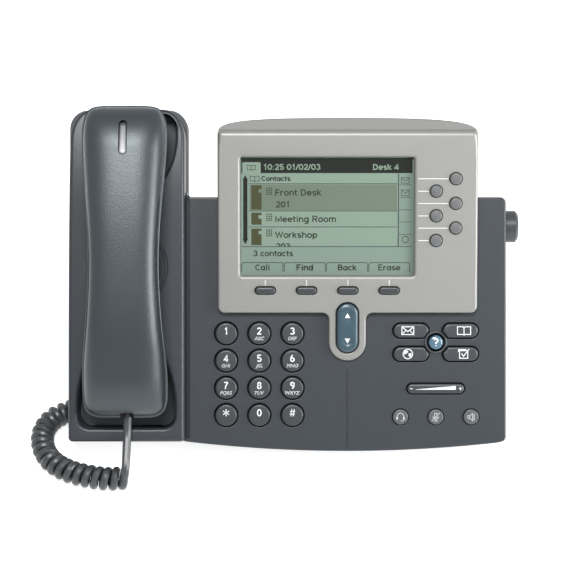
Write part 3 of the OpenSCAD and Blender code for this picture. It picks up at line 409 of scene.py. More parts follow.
def lens_finish():
    """Milky polycarbonate, with painted shade towards its upper end, where the slot's edge shades it: the
    colour goes from pale to dark between two heights over the table, in metres."""
    pale_below, dark_above = 0.172, 0.183
    material = finish("lamp_lens_milky", "#b9bbbf", 0.3)
    tree = material.node_tree
    along = add(tree, "ShaderNodeSeparateXYZ", {"Vector": add(tree, "ShaderNodeTexCoord").outputs["Object"]})
    # painted shade: 0 at the lens's lower end, 1 at its upper end
    painted_shade = add(tree, "ShaderNodeMapRange", {
        "Value": along.outputs["Z"], "From Min": pale_below, "From Max": dark_above})
    tint = add(tree, "ShaderNodeMix", {
        0: painted_shade.outputs["Result"], 6: linear("#c4c5c6"), 7: linear("#333537")}, data_type="RGBA")
    tree.links.new(tint.outputs[2], tree.nodes["Principled BSDF"].inputs["Base Color"])
    return material


lamp_milk = lens_finish()
# Polycarbonate plugs, moulded clear: what lies behind shows through, bent.
clear_plug = finish("polycarbonate_plug_clear", "#c4c8ca", 0.12, grain=5, bump=0.004, Transmission_Weight=0.7)
# PVC cord jacket, extruded: smooth and satin, with faint waves.
cord_vinyl = finish("PVC_cord_satin", "#3d4043", 0.33, grain=3, bump=0.02, mottle=0.05, cloud=18)
# Liquid crystal under a clear window: a grey-green ground with darker cells. The coat is the window's polish.
LCD_COAT = dict(grain=0.5, bump=0.0, mottle=0.015, Specular_IOR_Level=0.15, Coat_Weight=0.15,
                Coat_Roughness=0.05)
lcd_green = finish("lcd_ground_green", "#73847a", 0.5, **LCD_COAT)
lcd_pale = finish("lcd_lit_row", "#788a7c", 0.5, **LCD_COAT)
lcd_mid = finish("lcd_chosen_row", "#626f61", 0.5, **LCD_COAT)
lcd_bar = finish("lcd_dark_bar", "#121611", 0.5, **LCD_COAT)
lcd_ink = finish("lcd_cell_dark", "#2f352c", 0.5, **LCD_COAT)
lcd_olive = finish("lcd_cell_olive", "#3e402a", 0.5, **LCD_COAT)


# ---- Handset cord ----
WIRE = 4.9                          # thickness of the jacket
COIL = 14.3                         # width over the turns
COIL_PITCH = 5.3
COIL_Z = 7.3                        # height of the coil's axis over the table
COIL_STEP = COIL_PITCH / 16         # between the axis line's points
CLOSING = 1.8                       # pitches over which the coil closes onto its axis
COIL_CUT = 8                        # points left out where the coil meets the lead
TAIL_STEP, LEAD_STEP = 2.0, 1.0
# Straight lead in the face frame: from inside the handset, out of its end, and towards the coil
LEAD_START, LEAD_EXIT, LEAD_BEND = [-93.3, 19.6, 16.3], [-93.3, 15.0, 16.3], [-93.6, 4.5, 16.6]
LEAD_REACH = 7.0                    # how far the lead runs on in the coil's first direction
COIL_WAY = [[-93, -47], [-105, -48], [-118, -45.5], [-130, -40.5], [-140, -31.5], [-145.5, -19], [-146, -6],
            [-141, 5], [-131, 12], [-118, 18], [-104, 26], [-92, 38], [-85, 52], [-81, 68], [-80, 85],
            [-81, 100], [-87, 113], [-98, 120], [-109, 117], [-115, 107], [-117, 94], [-117, 80]]
TAIL_WAY = [[-117, 72, 7.2], [-117, 64, 7], [-115, 48, 9], [-110, 36, 16], [-103, 30, 28], [-97, 32, 41],
            [-95, 40, 54.3], place([-94.5, 90, -23], *FACE), place([-94.5, 104, -23], *FACE)]


def helix(axis, radius, pitch, start):
    """A helix round an axis line: radius times the cosine and sine of a turning angle, along two directions
    square to the axis that are carried along it without twist. start is the first direction. Over its last
    CLOSING pitches it closes onto the axis and turns ever more slowly."""
    side, up = carried(axis, start)
    far = travelled(axis)
    close = np.clip((far[-1] - far) / (CLOSING * pitch), 0, 1)
    share = close * close * (3 - 2 * close)
    angle = -2 * np.pi / pitch * np.cumsum(np.append(0, np.diff(far) * share[1:]))
    r = radius * share
    return axis + r[:, None] * (np.cos(angle)[:, None] * side + np.sin(angle)[:, None] * up)


def cords():
    """The curly cord, and the straight lead that joins it to the handset."""
    axis = smooth_path(raised(COIL_WAY, COIL_Z), COIL_STEP)[COIL_CUT:]
    towards_view = place([0, 0, 1], FACE_TILT, 0)
    turns = helix(axis, (COIL - WIRE) / 2, COIL_PITCH, towards_view)
    tail = smooth_path(np.vstack([turns[-1:], TAIL_WAY]), TAIL_STEP)[1:]
    coil_line = np.vstack([turns, tail])
    coil = piece("handset_cord", capped(follow(coil_line, WIRE / 2)), ROW, cord_vinyl, "base",
                 ["handset_cord_coil", "handset_cord_tail"], weighted=False)
    back = turns[0] - turns[2]
    lead_in = turns[0] + LEAD_REACH * back / np.linalg.norm(back)
    lead_line = smooth_path([*place([LEAD_START, LEAD_EXIT, LEAD_BEND], *FACE), lead_in, turns[0]], LEAD_STEP)
    lead = piece("handset_cord_lead_in", capped(follow(lead_line, WIRE / 2)), ROW, cord_vinyl, None,
                 ["handset_cord_lead"], weighted=False)
    float(travelled(coil_line)[-1]) * MM
    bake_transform(lead)
    float(travelled(lead_line)[-1]) * MM


cords()


# ---- Shared forms ----
def dress(node, material):
    """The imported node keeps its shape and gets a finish."""
    thing = frame["nodes"][node]
    for slot in thing.material_slots:
        slot.material = material


def domed(shape, loop, spine, foot, crown, power, rings, end_power=None, relief=None):
    """A domed top over a long loop. Each of its points runs to the nearest point of the spine, a stretch of
    the Y axis: across goes by cos(t)^(2/p), up from foot to crown by sin(t)^(2/p), with t from 0 to 90
    degrees and p the power, which turns to end_power towards the loop's ends. crown is a function of y,
    foot one height per point of the loop, relief a function of x and y that is added."""
    centre = np.column_stack([np.zeros(len(loop)), loop[:, 1].clip(*spine)])
    out = loop - centre
    side = (out[:, 0] / np.linalg.norm(out, axis=1)) ** 2
    p = power if end_power is None else end_power + (power - end_power) * side
    t = quarter(rings)[:, None]
    across = np.cos(t).clip(0, 1) ** (2 / p)
    up = np.sin(t) ** (2 / p)
    across[-1], up[-1] = 0, 1
    xy = centre + out * across[..., None]
    foot = np.broadcast_to(foot, len(loop))
    z = foot + (crown(xy[..., 1]) - foot) * up
    if relief is not None:
        z = z + relief(xy[..., 0], xy[..., 1])
    return shape.grid(np.dstack([xy, z]))


def lathe(shape, x, y, profile, n=40):
    """A round form about a line square to the plane: each (radius, height) pair of the profile is one ring.
    A radius of zero closes it."""
    a = around(n)
    rows = [raised(np.column_stack([x + r * np.cos(a), y + r * np.sin(a)]), z) for r, z in profile]
    return shape.grid(np.array(rows))


def round_key(shape, x, y, top, rim, foot, steps, n):
    """A round key about x, y: the (radius, height) pairs of its top, a rim from a quarter ellipse, and a
    wall down to foot. rim is the ellipse's middle and half width, then its middle height and half
    height."""
    r, wide, z, high = rim
    edge = [(r + wide * math.sin(t), z + high * math.cos(t)) for t in quarter(steps)]
    return lathe(shape, x, y, [*top, *edge, (r + wide, foot), (0, foot)], n)


def button(shape, loop, top, foot, r, drop):
    """A key with a flat top and a rolled edge: a quarter ellipse r wide and drop high, then a wall down to
    foot."""
    profile = [(-r + r * np.sin(t), top - drop + drop * np.cos(t)) for t in quarter(6)] + [(0, foot)]
    rings = swept(loop, profile)
    return shape.grid(rings).flat(rings[0][:, :2], z=top).flat(rings[-1][:, :2], z=foot)


def rolled(top, r, bottom, out=0.0, n=4):
    """Profile of a rolled rim whose wall stands at out: flat at top, a quarter round of radius r, a wall to
    bottom."""
    return [(out - r + r * math.sin(t), top - r + r * math.cos(t)) for t in quarter(n)] + [(out, bottom)]


THICK = 0.06                        # of printed legends, in mm
CAPITAL = 0.729                     # height of the built-in font's capitals, as a share of its size


def letters(text, size, shear):
    """A line of lettering as points and faces, its capitals size mm high and standing on zero, about its
    middle: a built-in font's outline as a closed shell THICK mm thick."""
    curve = bpy.data.curves.new("line", "FONT")
    curve.body, curve.size, curve.shear = text, size / CAPITAL, shear
    curve.resolution_u = 3
    curve.extrude = THICK / 2
    thing = bpy.data.objects.new("line", curve)
    mesh = bpy.data.meshes.new_from_object(thing)
    co = np.zeros(len(mesh.vertices) * 3)
    mesh.vertices.foreach_get("co", co)
    co = co.reshape(-1, 3)
    faces = [list(p.vertices) for p in mesh.polygons]
    for block in (thing, curve, mesh):
        bpy.data.batch_remove([block])
    return co - [(co[:, 0].min() + co[:, 0].max()) / 2, 0, 0], faces


def write(shape, text, x, y, z, size, ink, bold, shear):
    """Lettering laid on the plane at height z, its middle at x and its capitals' middle at y. It is bold
    because it is laid four times, bold mm to each side."""
    co, faces = letters(text, size, shear)
    for dx, dy in ((bold, bold), (-bold, bold), (-bold, -bold), (bold, -bold)):
        base = shape.count
        shape.points.append(co + [x + dx, y - size / 2 + dy, z + THICK / 2])
        shape.faces += [[v + base for v in face] for face in faces]
        shape.inks += [ink] * len(faces)
        shape.count += len(co)


def glyph(sign):
    """Width and strokes of a drawn character of a plain even-stroked alphabet, ten units to a capital's
    height and about its own middle. Each stroke is (points, closed), made of straight lines and arcs."""
    ring = lambda x, y, rx, ry: (arc(x, y, rx, ry, 0, 360, 28)[:-1], True)
    bow = lambda x, y, rx, ry, a0, a1: (arc(x, y, rx, ry, a0, a1, 14), False)
    line = lambda *points: (list(points), False)
    run = lambda *parts: (np.vstack(parts), False)
    shut = lambda *parts: (np.vstack(parts), True)
    bowl = lambda x: ring(x, 3.65, 2.25, 2.95)
    arch = lambda x, w, y=0.0: run(arc(x, 6.6 - w, w, w, 180, 0, 12), [(x + w, y)])
    return {
        "0": (6.8, [ring(0, 5, 2.5, 4.3)]),
        "1": (6.2, [line((-1.8, 7.4), (-0.4, 8.0), (0.6, 9.6), (0.6, 0))]),
        "2": (6.8, [run(arc(0, 6.9, 2.3, 2.4, 165, -38, 14), [(-2.4, 0.7)]), line((-2.9, 0.7), (2.8, 0.7))]),
        "3": (6.8, [bow(-0.1, 7.1, 2.1, 2.2, 160, -88), bow(-0.1, 2.8, 2.5, 2.1, 88, -160)]),
        "4": (6.8, [line((1.2, 0), (1.2, 9.0), (-2.7, 2.8), (3.0, 2.8))]),
        "5": (6.8, [line((2.4, 9.3), (-1.8, 9.3), (-2.2, 5.0)), bow(-0.1, 3.2, 2.5, 2.5, 145, -155)]),
        "6": (6.8, [ring(0, 3.0, 2.4, 2.3), bow(1.6, 3.2, 4.0, 6.2, 180, 105)]),
        "7": (6.8, [line((-2.7, 9.3), (2.6, 9.3)), bow(4.9, 0.0, 5.9, 9.2, 112, 180)]),
        "8": (6.8, [ring(0, 7.2, 2.0, 2.1), ring(0, 2.9, 2.45, 2.2)]),
        "9": (6.8, [ring(0, 7.0, 2.4, 2.3), bow(-1.6, 6.8, 4.0, 6.2, 0, -75)]),
        "#": (6.8, [line((-2.0, 0.8), (-0.7, 9.2)), line((0.9, 0.8), (2.2, 9.2)),
                    line((-3.2, 3.4), (2.8, 3.4)), line((-2.7, 6.6), (3.3, 6.6))]),
        "*": (6.8, [line((0, 1), (0, 9)), line((-3.46, 3), (3.46, 7)), line((-3.46, 7), (3.46, 3))]),
        "?": (6.8, [run(arc(0, 7.2, 2.4, 2.2, 165, -40, 12), [(0, 4.4), (0, 2.9)]), line((0, 1.3), (0, 0))]),
        "B": (7.6, [shut([(-2.4, 5.1)], arc(0.1, 7.2, 2.1, 2.1, -90, 90, 12), [(-2.4, 9.3)]),
                    shut([(-2.4, 0.7)], arc(0.3, 2.9, 2.4, 2.2, -90, 90, 12), [(-2.4, 5.1)])]),
        "C": (7.8, [bow(0.5, 5, 3.1, 4.3, 48, 312)]),
        "D": (8.2, [shut([(-2.7, 0.7)], arc(-0.5, 5, 3.2, 4.3, -90, 90, 14), [(-2.7, 9.3)])]),
        "E": (7.2, [line((2.5, 9.3), (-2.3, 9.3), (-2.3, 0.7), (2.6, 0.7)), line((-2.3, 5.1), (2.1, 5.1))]),
        "F": (6.8, [line((2.6, 9.3), (-2.2, 9.3), (-2.2, 0)), line((-2.2, 5.0), (2.0, 5.0))]),
        "M": (9.4, [line((-3.5, 0), (-3.5, 9.0), (0, 1.6), (3.5, 9.0), (3.5, 0))]),
        "R": (8.0, [run([(-2.6, 4.9)], arc(0.3, 7.1, 2.4, 2.2, -90, 90, 12), [(-2.6, 9.3), (-2.6, 0)]),
                    line((0.2, 4.9), (2.8, 0))]),
        "W": (11.0, [line((-4.5, 10), (-2.3, 0.9), (0, 8.9), (2.3, 0.9), (4.5, 10))]),
        "a": (6.8, [bowl(-0.2), line((2.2, 7.3), (2.2, 0))]),
        "c": (6.2, [bow(0.3, 3.65, 2.5, 2.95, 48, 312)]),
        "d": (6.8, [bowl(-0.2), line((2.2, 10), (2.2, 0))]),
        "e": (6.8, [line((-2.4, 3.6), (2.45, 3.6)), bow(0, 3.65, 2.5, 2.95, 0, 318)]),
        "g": (6.8, [bowl(-0.2), run([(2.2, 7.3)], arc(-0.1, -0.4, 2.3, 2.0, 0, -150, 10))]),
        "h": (6.8, [line((-2.2, 10), (-2.2, 0)), arch(0, 2.2)]),
        "i": (3.2, [line((0, 7.3), (0, 0)), line((0, 10), (0, 8.7))]),
        "k": (6.2, [line((-2.0, 10), (-2.0, 0)), line((2.0, 7.1), (-1.9, 3.2)), line((-0.6, 4.4), (2.3, 0))]),
        "l": (3.2, [line((0, 10), (0, 0))]),
        "m": (10.2, [line((-3.7, 7.3), (-3.7, 0)), arch(-1.85, 1.85), arch(1.85, 1.85)]),
        "n": (6.8, [line((-2.2, 7.3), (-2.2, 0)), arch(0, 2.2)]),
        "o": (6.8, [ring(0, 3.65, 2.5, 2.95)]),
        "p": (6.8, [bowl(0.2), line((-2.2, 7.3), (-2.2, -2.6))]),
        "r": (4.6, [line((-1.4, 7.3), (-1.4, 0)), bow(1.5, 4.0, 2.9, 2.65, 180, 92)]),
        "s": (6.0, [run(arc(0, 5.15, 1.9, 1.5, 35, 262, 10), arc(0, 2.2, 1.95, 1.5, 82, -145, 10))]),
        "t": (4.2, [run([(-0.4, 9.2)], arc(1.0, 2.0, 1.4, 1.35, 180, 285, 8)),
                    line((-1.9, 6.7), (1.7, 6.7))]),
        ":": (3.4, [line((0, 1.4), (0, 0)), line((0, 6.6), (0, 5.2))]),
        "/": (4.0, [line((-1.7, 0), (1.7, 10))]),
        " ": (3.6, []),
    }[sign]


def signs(shape, text, x, y, z, size, weight, ink, align=0, rise=THICK, stretch=1.0):
    """A line of drawn characters, its capitals size mm high with their middle at y, its strokes weight mm
    wide. align is -1 where x is its left end, 1 its right end, 0 its middle."""
    scale = size / 10 * np.array([stretch, 1])
    drawn = [glyph(c) for c in text]
    at = x - sum(wide for wide, _ in drawn) * scale[0] * (1 + align) / 2
    for wide, strokes in drawn:
        for points, closed in strokes:
            line = np.asarray(points, float) * scale + [at + wide * scale[0] / 2, y - size / 2]
            stroke(shape, line, weight, z, ink, closed, rise)
        at += wide * scale[0]


def drape(shape, first, height):
    """The shape's parts from number first on are lifted by height, a function of x and y: printing that
    follows a curved top."""
    for k in range(first, len(shape.points)):
        p = shape.points[k]
        shape.points[k] = np.column_stack([p[:, :2], p[:, 2] + height(p[:, 0], p[:, 1])])


def stroke(shape, line, width, z, ink, closed=False, rise=THICK):
    """A line of even width drawn on the plane at height z: at each point it goes half the width to each
    side along the mean of the two normals, over its cosine. It is a closed ribbon, rise mm high."""
    p = np.asarray(line, float)
    step = np.roll(p, -1, 0) - p
    if not closed:
        step[-1] = step[-2]
    step /= np.linalg.norm(step, axis=1)[:, None]
    normal = np.stack([-step[:, 1], step[:, 0]], 1)
    before = np.roll(normal, 1, 0)
    if not closed:
        before[0] = normal[0]
    off = width / 2 * (normal + before) / (1 + (normal * before).sum(1))[:, None].clip(0.3)
    corners = ((-1, 0), (-1, rise), (1, rise), (1, 0))
    rows = np.stack([raised(p + side * off, z + up) for side, up in corners], 1)
    shape.grid(rows, ink, along=closed)
    if not closed:
        shape.add(rows[0], [[0, 1, 2, 3]], ink).add(rows[-1], [[0, 1, 2, 3]], ink)
    return shape


def patch(shape, loop, z, ink, rise=THICK):
    """A filled area drawn on the plane at height z, rise mm high."""
    rings = swept(np.asarray(loop, float), [(0, z + rise), (0, z)])
    return shape.grid(rings, ink).flat(rings[0][:, :2], (), z + rise, ink).flat(rings[1][:, :2], (), z, ink)


# ---- Handset ----
GRIP_X = -94.5
MOUTH_Y, EAR_Y = 40.4, 172.0
SPINE = (40.0, 172.0)               # the stretch of the middle line that the rings draw in towards
RIM = 1.25                          # the back stands this far inside the rim
LIP = 0.35                          # and its foot this far over the parting line
# Half width of the handset at places up the slope, from the middle of its lower end round to that of its top
HALF = np.array([
    [0, 15.6], [8, 15.6], [14.5, 15.7], [18.3, 16.4], [21.5, 18.2], [23.6, 21.3], [24.6, 26.5], [24.8, 38.5],
    [24.1, 50.5], [22.9, 62.5], [21.8, 75], [20.9, 89.5], [20.5, 104], [20.8, 119], [21.7, 133.5],
    [22.6, 144.5], [23.5, 156], [24.3, 167], [24.7, 178], [24.2, 186.5], [22.4, 192.3], [19.5, 195.6],
    [14, 196.8], [7, 197], [0, 197]])
# Heights over the key panel at places up the slope: the back's ridge, the parting line and the underside
RIDGE = np.array([
    [0, 36], [30, 37.6], [40, 39.6], [50, 41.6], [60, 43.6], [72, 45.0], [85, 45.7], [98, 45.95], [120, 45.7],
    [140, 44.6], [155, 43.2], [172, 41.2], [185, 39.5], [220, 36]])
PART = np.array([
    [0, 20], [15.6, 20], [30, 21.5], [42, 25], [56, 30], [72, 33.6], [90, 35], [120, 35], [138, 33.2],
    [155, 29.5], [172, 26.5], [186, 24.8], [197, 24], [220, 24]])
BELLY = np.array([
    [0, 13.2], [50, 13.2], [60, 13.8], [66, 16.5], [70, 20.5], [75, 24.5], [82, 26.8], [92, 27], [118, 27],
    [130, 26.8], [137, 24.5], [142, 20.5], [146, 16.5], [152, 13.8], [162, 13.2], [220, 13.2]])


def eased(table, y):
    """The table's value at y: a cubic between its points, with the slopes of a Catmull-Rom curve."""
    x, v = table[:, 0], table[:, 1]
    slope = np.gradient(v, x)
    k = np.searchsorted(x, np.asarray(y), side="right").clip(1, len(x) - 1)
    h = x[k] - x[k - 1]
    t = (y - x[k - 1]) / h
    return ((1 + 2 * t) * (1 - t) ** 2 * v[k - 1] + t * (1 - t) ** 2 * h * slope[k - 1]
            + t * t * (3 - 2 * t) * v[k] + t * t * (t - 1) * h * slope[k])


def handset_loop(inset=0.0):
    """The handset's outline about its own middle line, mirrored about it: both halves meet on the line."""
    half = smooth_path(np.column_stack([HALF, np.zeros(len(HALF))]), 2.4)[:, :2]
    loop = np.vstack([half, half[-2:0:-1] * [-1, 1]])
    return grown(loop, -inset) if inset else loop


def half_width(loop, y):
    """The outline's half width at y, read off its right-hand side."""
    right = loop[loop[:, 0] > 1e-6]
    right = right[np.argsort(right[:, 1])]
    return np.interp(y, right[:, 1], right[:, 0])


def back_share(loop, x, y, p, q):
    """How much of the way from the parting line to the ridge a point is: (1 - u^p)^(1/p) across, where u is
    x over the half width, times (1 - e^q)^(1/q) along, where e runs from 0 at the spine's end to 1 at the
    outline's end."""
    u = (np.abs(x) / half_width(loop, y)).clip(0, 1)
    ends = loop[:, 1].min(), loop[:, 1].max()
    e = np.maximum((SPINE[0] - y) / (SPINE[0] - ends[0]), (y - SPINE[1]) / (ends[1] - SPINE[1])).clip(0, 1)
    return (1 - u ** p) ** (1 / p) * (1 - e ** q) ** (1 / q)


def ringed(loop, t, power):
    """The loop drawn in towards the spine by cos(t)^(2/p) for each angle t: rings that crowd at the
    loop."""
    centre = np.column_stack([np.zeros(len(loop)), loop[:, 1].clip(*SPINE)])
    across = np.cos(t).clip(0, 1) ** (2 / power)
    return centre + (loop - centre) * across[:, None, None]


def back_top(x, y):
    """Height of the handset's back over the key panel, from its foot to the ridge by back_share. Near its
    lower end a dent 0.55 mm deep falls off as a Gaussian, 11 mm across and 2.6 mm along."""
    foot = eased(PART, y) + LIP
    dent = -0.55 * np.exp(-((x + 6) / 11) ** 2 - ((y - 22.5) / 2.6) ** 2)
    return foot + (eased(RIDGE, y) - foot + dent) * back_share(handset_loop(RIM), x, y, 3.0, 2.1)


def on_middle(shape):
    """The shape moved to the handset's middle line."""
    shape.points = [p + [GRIP_X, 0, 0] for p in shape.points]
    return shape


def cut(thing, shape, where, lining):
    """The piece without the space that a closed shape takes up; the cut's walls get the lining."""
    tool = piece("cutter", shape, where, lining, "base", weighted=False)
    hole = thing.modifiers.new("cut", "BOOLEAN")
    hole.object, hole.operation, hole.solver, hole.material_mode = tool, "DIFFERENCE", "EXACT", "TRANSFER"
    thing.modifiers.move(len(thing.modifiers) - 1, 0)
    bend = thing.modifiers.get("even_shading")
    if bend:
        bend.show_viewport = bend.show_render = False
    bpy.context.view_layer.update()
    shown = thing.evaluated_get(bpy.context.evaluated_depsgraph_get())
    mesh = bpy.data.meshes.new_from_object(shown)
    thing.modifiers.remove(hole)
    thing.data = mesh
    mesh.set_sharp_from_angle(angle=math.radians(38))
    if bend:
        bend.show_viewport = bend.show_render = True
    bpy.data.objects.remove(tool)


def handset():
    """One closed shell about a parting line: the domed back, inside the rounded rim of the front half,
    which runs down the sides to the grip's underside. The lamp's slot and the cord's notch are cut out of
    it."""
    loop, inner = handset_loop(), handset_loop(RIM)
    part = eased(PART, loop[:, 1])
    t = np.radians(np.linspace(90, 0, 26))
    xy = ringed(inner, t, 2.6)
    back = np.dstack([xy, back_top(xy[..., 0], xy[..., 1])])
    back[-1, :, 2] = eased(PART, inner[:, 1]) + LIP
    # the joint is a shallow crease that closes towards both ends, where the rim only rounds over by step
    crease = [(-RIM, -0.3), (-1.1, -0.3), (-1.05, -0.05), (-0.8, 0.2), (-0.5, 0.3), (-0.2, 0.12), (0, -0.3)]
    share = 0.35 * (1 - ((loop[:, 1] - 178) / 12).clip(0, 1)) * ((loop[:, 1] - 34) / 20).clip(0, 1)
    step = 0.65
    rim = [raised(grown(loop, d), part + z * share + (LIP - step * (1 + d / RIM) ** 2) * (1 - share))
           for d, z in crease]
    xy = ringed(loop, t[::-1], 4.0)
    top = part - 1.2
    share = back_share(loop, xy[..., 0], xy[..., 1], 4.0, 5.0)
    belly = np.dstack([xy, top + (eased(BELLY, xy[..., 1]) - top) * share])
    belly[0, :, 2] = top
    shape = Shape().grid(np.concatenate([back, rim, belly]))
    body = piece("handset_shell", on_middle(shape), FACE, handset_abs, "handset",
                 ["handset_back_shell", "handset_front_shell"], sharp=38)
    # the lamp's slot follows the back, 2.6 mm deep, and its walls are lined black, painted shade in the
    # recess; its cutter starts well above it
    sunk = lambda p: raised(p[:, :2], back_top(p[:, 0] * 0, p[:, 1]) - 2.6)
    above = 60.0
    slot = pill(0, 177.7, 4.9, 20.1, 10)
    floor = Shape().flat(slot)
    tool = Shape().grid(np.array([raised(slot, above), sunk(slot)])).flat(slot, (), above)
    tool.add(sunk(floor.points[0]), floor.faces)
    cut(body, on_middle(tool), FACE, black_mat_and_shade)
    # the cord's notch is lined black too: painted shade
    notch, high, low = rounded(-2.75, 5.15, 13.0, 18.6, 0.8, 4), 30.0, 12.6
    tool = Shape().grid(swept(notch, [(0, high), (0, low)])).flat(notch, (), high).flat(notch, (), low)
    cut(body, on_middle(tool), FACE, black_mat_and_shade)


def handset_caps():
    """The round ends for mouth and ear: superellipses that reach to the handset's ends, drawn in to a
    rounded edge and a shallow dish with sound holes."""
    shape = Shape()
    wide, dish, behind = 22.6, -4.3, -2.6
    profile = [(0.9, 18), (0.9, 12), (0.4, 4), (0, -1.5), (-0.4, -3.4), (-1.3, -4.9), (-2.6, -5.5),
               (-4.0, -5.6), (-6.0, -5.3), (-8.5, -4.6), (-11, dish)]
    a = around(72)
    c, s = np.cos(a), np.sin(a)
    for y, away, far, rings in ((MOUTH_Y, -1, 21.4, ((0, 1),)), (EAR_Y, 1, 19.2, ((5, 6), (10, 12)))):
        out = s * away > 0
        e = np.where(out, 2 / 3.4, 1.0)
        long = np.where(out, far, wide)
        cap = joined(np.column_stack([
            wide * np.sign(c) * np.abs(c) ** e, y + long * np.sign(s) * np.abs(s) ** e]))
        stack = swept(cap, profile)
        holes = [circle(r * math.cos(b), y + r * math.sin(b), 1.0, 12) for r, n in rings for b in around(n)]
        shape.grid(stack).flat(stack[0][:, :2], (), 18.0).flat(stack[-1][:, :2], holes, dish)
        # each sound hole is a short pit with a black floor: painted shade for the dark inside
        for hole in holes:
            shape.pit(hole, dish, behind, 1)
    piece("handset_caps", on_middle(shape), FACE, [handset_abs, black_mat_and_shade], "handset", sharp=40)


def lamp_lens():
    """The milky lens that lies in the slot of the handset's back: a pill whose top follows the back, 0.9 mm
    below it at its lower end and deeper at its upper end."""
    shape = Shape()
    loop = pill(0, 177.2, 3.8, 18.4, 8)
    sunk = lambda y: back_top(0 * y, y) - 0.9 - 0.5 * ((y - 168) / 19).clip(0)
    domed(shape, loop, (169.9, 184.5), sunk(loop[:, 1]) - 0.4, sunk, 2.4, 6)
    shape.grid(np.array([raised(loop, sunk(loop[:, 1]) - d) for d in (0.4, 1.6)]))
    piece("handset_lamp_lens", on_middle(shape), FACE, lamp_milk, "handset", ["handset_light_strip"],
          sharp=60, outward=(0, 0, 1))


# ---- Housing ----
DECK = 12.0                         # height of the cradle's deck over the key panel
PARTING = -9.0                      # height of the joint with the lower housing
HOLE = -5.2                         # depth of the keys' holes
KEY_FOOT = -3.8                     # height of the keys' lower ends
LEFT, SPLIT, RIGHT, MIDDLE = -129.5, -59.5, 129.5, 35.0
DIAL = [(x, y) for y in (64.2, 48.1, 32.0, 15.9) for x in (-36.2, -16.6, 3.0)]
CLUSTER = 87.8                      # middle of the feature, volume and audio keys
HELP_Y, VOLUME_Y, AUDIO_Y, SPEAKER_Y = 59.0, 31.6, 14.8, 103.2
AUDIO_STEP = 20.9
FEATURE_X, FEATURE_Y, BITE = 14.65, 6.9, 7.5


def ear_well():
    """Outline of the upper well: two quarter ellipses below, wider to the right, straight sides, and round
    corners above."""
    r = 8.5
    return joined(arc(GRIP_X, 180, 24, 37, 180, 270, 20), arc(GRIP_X, 180, 29, 37, 270, 360, 20),
                  arc(GRIP_X + 20.5, 186, r, r, 0, 90, 10), arc(GRIP_X - 15.5, 186, r, r, 90, 180, 10))


def mouth_well():
    """Outline of the lower well: a flat lower end with round corners, and a long half ellipse above."""
    return joined(arc(GRIP_X, 18, 28.4, 50, 0, 180, 48), arc(GRIP_X - 21.4, 16, 7, 7, 180, 270, 10),
                  arc(GRIP_X + 21.4, 16, 7, 7, 270, 360, 10))


def panel_outline():
    """Outline of the key panel: its front edge is a parabola 5.5 mm deep, and it meets the cradle in a
    hollow corner."""
    s = np.linspace(-1, 1, 41)[:-1]
    front = np.column_stack([MIDDLE + 94.5 * s, -5.5 * (1 - s * s)])
    return joined([[SPLIT - 1.5, 0.4]], front, arc(RIGHT - 3, 3, 3, 3, 285, 360, 6),
                  arc(RIGHT - 3.5, 141.5, 3.5, 3.5, 0, 90, 6), arc(SPLIT + 2.5, 147.5, 2.5, 2.5, 270, 180, 6),
                  [[SPLIT - 1.5, 147.5]])


def feature_loop(sx, sy, g=0.0):
    """Outline of a feature key up or down, left or right of the help key: a slot shape with a round bite
    about the help key's middle, grown by g."""
    loop = pill(FEATURE_X, FEATURE_Y, 20.6 + 2 * g, 8.2 + 2 * g, 16)
    bite = BITE - g
    dense = np.vstack([np.linspace(a, b, 12)[:-1] for a, b in zip(loop, np.roll(loop, -1, 0))])
    away = np.linalg.norm(dense, axis=1)
    first = np.flatnonzero((away >= bite) & (np.roll(away, 1) < bite))[0]
    dense = np.roll(dense, -first, 0)
    out = dense[np.roll(away, -first) >= bite]
    a0, a1 = np.degrees(np.arctan2(out[[-1, 0], 1], out[[-1, 0], 0]))
    curve = arc(0, 0, bite, bite, a0, a1, 10)[1:-1]
    loop = joined(out[::3], out[-1:], curve) * [sx, sy]
    return loop[::-1] if sx * sy < 0 else loop


def cradle_outline():
    """Outline of the cradle: round corners, a long quarter ellipse at each upper one, and a left side that
    draws in by up to 1 mm as the cube of the way up."""
    up = np.linspace(174, 10, 16)
    return joined(arc(LEFT + 3.4, 3.4, 3.4, 3.4, 180, 270, 9), arc(SPLIT - 3.4, 3.4, 3.4, 3.4, 270, 360, 9),
                  upright(SPLIT, 10, 174, 16), arc(SPLIT - 13, 178, 13, 19, 0, 90, 14),
                  arc(LEFT + 14.2, 178, 13.2, 19, 90, 180, 14), np.column_stack([LEFT + (up / 178) ** 3, up]))


